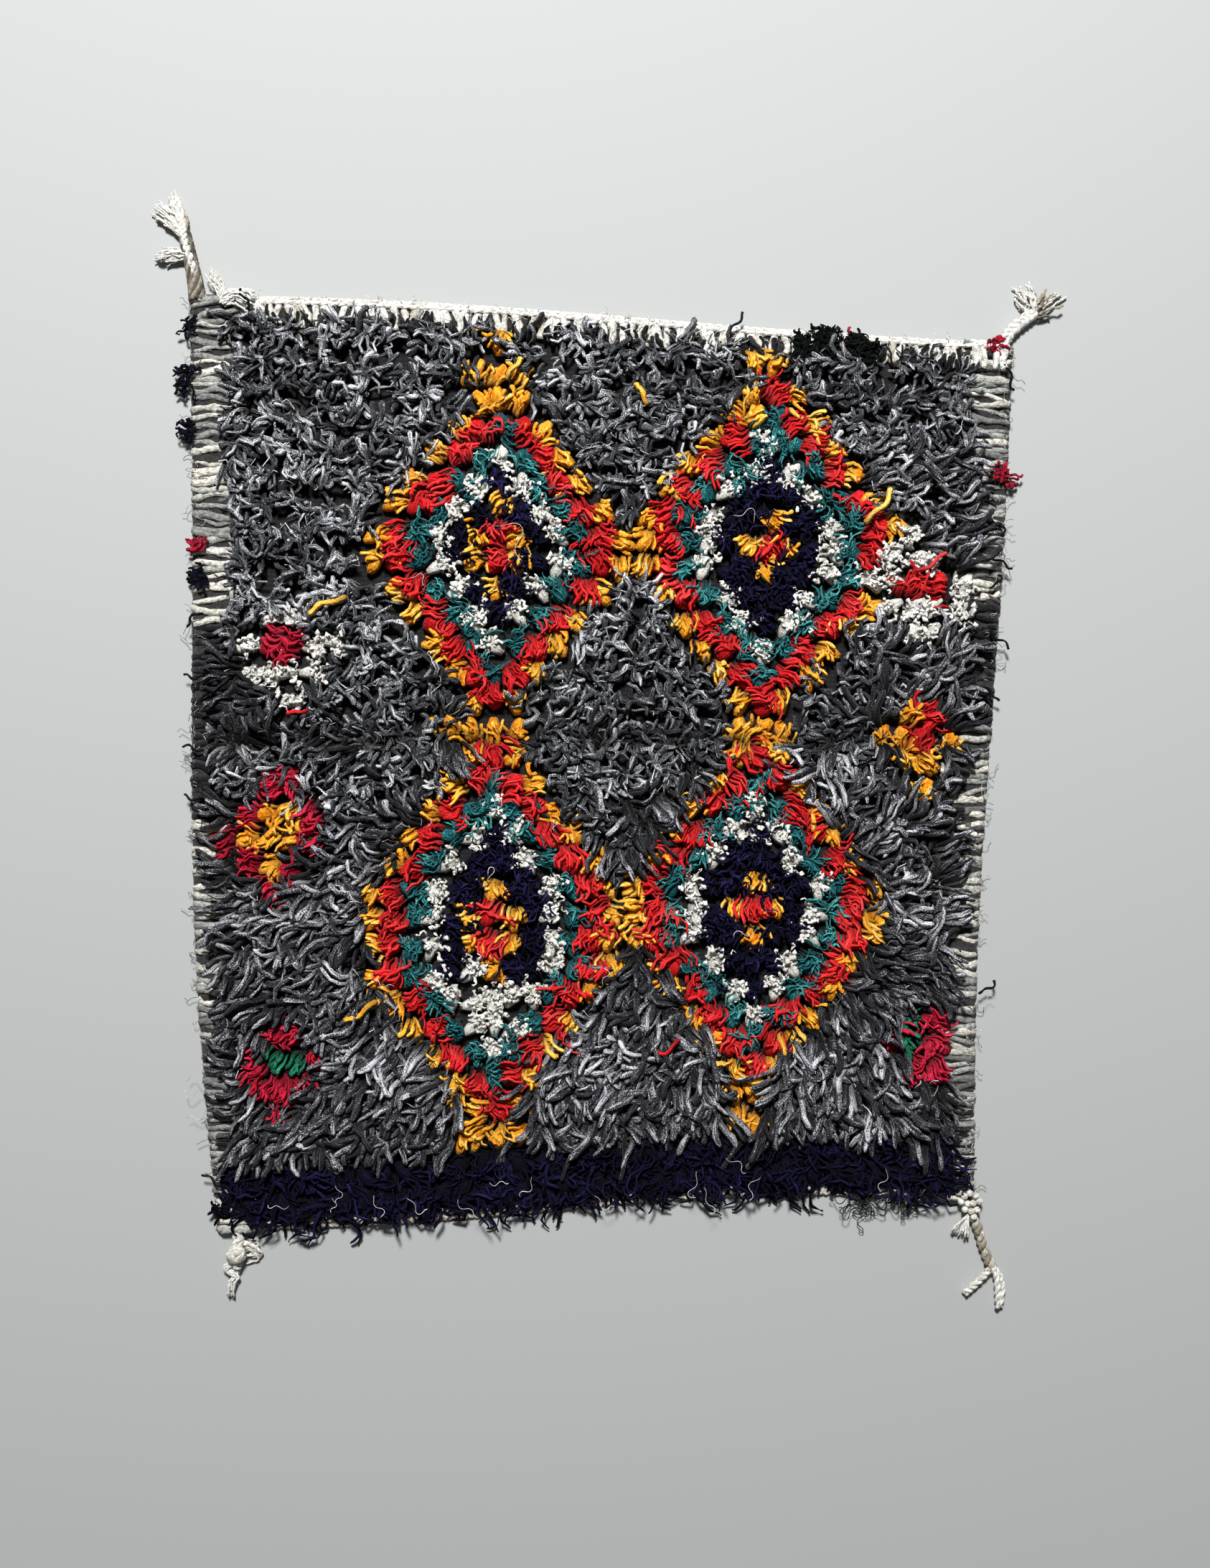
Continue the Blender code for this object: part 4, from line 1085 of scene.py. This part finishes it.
def ball(centre, radius, half, tilts, lots, fate, rings=22):
    """Turns of cord round a ball: circles about its centre, each tipped by its own two angles."""
    around = np.linspace(0, 2 * np.pi, rings)
    circle = np.stack([np.cos(around), np.sin(around), 0 * around], -1) * radius
    paths = []
    for tip, swing in tilts:
        x, y, z = circle[:, 0], circle[:, 1] * np.cos(tip), circle[:, 1] * np.sin(tip)
        paths.append(np.stack([x * np.cos(swing) - y * np.sin(swing),
                               x * np.sin(swing) + y * np.cos(swing), z], -1))
    paths = np.array(paths) + np.array(centre) + fate.normal(0, radius * 0.03, (len(tilts), rings, 3))
    return yarns(above_floor(paths, half, TASSEL_GAP), half, half, 0.0, 8, np.array(lots, float))


fate = np.random.default_rng(63)
tassel(
    "tassel_bottom_left",
    plies(((-0.288, -0.365, 0.004), (-0.2885, -0.374, 0.006), (-0.29, -0.386, 0.0075)),
          3, 0.0026, 0.0028, 0.002, 1.2, (0.25, 0.35, 0.2), fate, rings=16),
    ball((-0.29, -0.385, 0.0078), 0.0052, 0.003,
         ((0.3, 0.0), (1.2, 0.5), (1.3, 1.6), (1.1, 2.6), (0.9, 3.6)), (0.25, 0.32, 0.2, 0.38, 0.28), fate),
    ball((-0.2895, -0.3935, 0.006), 0.003, 0.0016, ((1.2, 0.2), (1.3, 1.2), (1.0, 2.2)), (0.1, 0.05, 0.2),
         fate),
    wisps(((-0.285, -0.377, 0.006), (-0.275, -0.379, 0.006), (-0.271, -0.385, 0.004),
           (-0.279, -0.386, 0.0035)), 9, 0.0011, 0.0014, 0.6, 0.12, fate),
    wisps(((-0.292, -0.393, 0.006), (-0.299, -0.396, 0.0045), (-0.296, -0.4, 0.004),
           (-0.289, -0.401, 0.0045), (-0.293, -0.4085, 0.004), (-0.2945, -0.42, 0.0028)), 11, 0.0009,
          0.0012, 0.7, 0.0, fate, rings=20),
)


# Bottom right tassel
# Cream cords knotted into a row of small pearls, a bright white brush cut off short, and a twisted cord of
# grey-pink wool that forks into two white legs.

fate = np.random.default_rng(64)
PEARLS = ((0.2905, -0.335), (0.295, -0.338), (0.2995, -0.3355), (0.304, -0.3375), (0.307, -0.342),
          (0.2925, -0.3425), (0.2975, -0.344), (0.302, -0.3435), (0.2955, -0.3485), (0.3005, -0.35),
          (0.305, -0.349), (0.3025, -0.3545))
# A pearl's height above the floor, its half length and its half width
PEARL_HEIGHT, PEARL_HALF, PEARL_WIDE = 0.0085, 0.0027, 0.0029
middle = np.array([(x, y, PEARL_HEIGHT) for x, y in PEARLS])
share = np.linspace(-1, 1, 6)
slant = fate.uniform(0.3, 1.2, len(middle))
pearl_paths = middle[:, None] + np.stack([np.cos(slant), np.sin(slant), 0 * slant], -1)[:, None] * (
    share * PEARL_HALF)[None, :, None]
swell = np.sqrt(1 - (share * 0.9) ** 2) * PEARL_WIDE
# The brush of short strands: their directions in degrees, and their length
fan_angles = np.radians((-116, -100, -128, -92, -140, -108, -82, -121, -134))
FAN_REACH, FAN_HALF = 0.0165, 0.001
reach = FAN_REACH * fate.uniform(0.8, 1.0, len(fan_angles))
fan_ends = np.array((0.296, -0.356, 0.005)) + reach[:, None] * np.stack(
    [np.cos(fan_angles), np.sin(fan_angles), 0.15 * np.sin(7 * fan_angles)], -1)
fan_paths = np.linspace(np.broadcast_to((0.2985, -0.353, 0.007), fan_ends.shape), fan_ends, 6, axis=1)
tassel(
    "tassel_bottom_right",
    yarns(pearl_paths, swell, swell, 0.0, 8, fate.uniform(0.15, 0.4, len(middle))),
    yarns(fan_paths, FAN_HALF, FAN_HALF, 0.0, 6, fate.uniform(0.0, 0.1, len(fan_ends))),
    plies(((0.301, -0.353, 0.005), (0.306, -0.363, 0.0045), (0.3095, -0.375, 0.0042),
           (0.3135, -0.386, 0.0042), (0.3185, -0.397, 0.0046)), 2, 0.0023 * fate.uniform(0.75, 1.25, 48),
          0.0018, 0.0016, 4.0, (0.72, 0.5), fate),
    plies(((0.318, -0.3955, 0.0048), (0.3115, -0.403, 0.0045), (0.303, -0.4115, 0.0038),
           (0.2965, -0.4175, 0.0034)), 2, 0.0018, 0.0013, 0.0011, 3.2, (0.3, 0.12), fate, rings=32),
    plies(((0.3175, -0.395, 0.005), (0.3215, -0.404, 0.0048), (0.3225, -0.417, 0.0045),
           (0.3235, -0.429, 0.0036)), 2, 0.0019, 0.001, 0.0012, 3.0, (0.05, 0.12), fate, rings=32),
    plies(((0.3185, -0.395, 0.005), (0.3245, -0.403, 0.0046), (0.3265, -0.415, 0.0042),
           (0.3245, -0.4285, 0.0036)), 2, 0.0017, 0.0009, 0.001, 3.0, (0.1, 0.0), fate, rings=32),
)


# Floor, light and camera
# A plain pale studio floor. Soft daylight comes from the upper left and a weak fill from all round, and the
# camera looks straight down from above the middle of the mat.

FLOOR_HALF = 8.0
VIEW_MIDDLE = (0.0064, -0.0070)
VIEW_TALL = 1.267
LENS, SENSOR = 36.0, 36.0
WINDOW_SIDE, WINDOW_WATTS, WINDOW_PLACE = 0.6, 246.0, (-0.25, 2.3, 3.0)
FILL_STRENGTH = 0.08

# Painted screed: matt, and plain to the eye
screed = bpy.data.materials.new("painted_screed")
screed.use_nodes = True
floor_shader = screed.node_tree.nodes["Principled BSDF"]
floor_shader.inputs["Base Color"].default_value = linear("#a9acac")
floor_shader.inputs["Roughness"].default_value = 0.75
floor_mesh = bpy.data.meshes.new("floor")
corners = [(x * FLOOR_HALF, y * FLOOR_HALF, 0.0) for x, y in ((-1, -1), (1, -1), (1, 1), (-1, 1))]
floor_mesh.from_pydata(corners, [], [(0, 1, 2, 3)])
floor_mesh.materials.append(screed)
floor = bpy.data.objects.new("floor", floor_mesh)
bpy.context.collection.objects.link(floor)

window = bpy.data.lights.new("window", "AREA")
window.shape, window.energy = "RECTANGLE", WINDOW_WATTS
window.size = window.size_y = WINDOW_SIDE
window.color = (1.0, 0.99, 0.97)
window_object = bpy.data.objects.new("window", window)
window_object.location = WINDOW_PLACE
window_object.rotation_mode = "QUATERNION"
window_object.rotation_quaternion = (-window_object.location).to_track_quat("-Z", "Y")
bpy.context.collection.objects.link(window_object)

world = bpy.data.worlds.new("studio")
world.use_nodes = True
fill = world.node_tree.nodes["Background"].inputs
fill["Color"].default_value = (0.92, 0.96, 1.0, 1.0)
fill["Strength"].default_value = FILL_STRENGTH
bpy.context.scene.world = world
bpy.context.scene.view_settings.view_transform = "Standard"

camera = bpy.data.objects.new("camera", bpy.data.cameras.new("camera"))
camera.data.lens, camera.data.sensor_width = LENS, SENSOR
camera.location = (*VIEW_MIDDLE, VIEW_TALL * LENS / SENSOR)
bpy.context.collection.objects.link(camera)
bpy.context.scene.camera = camera
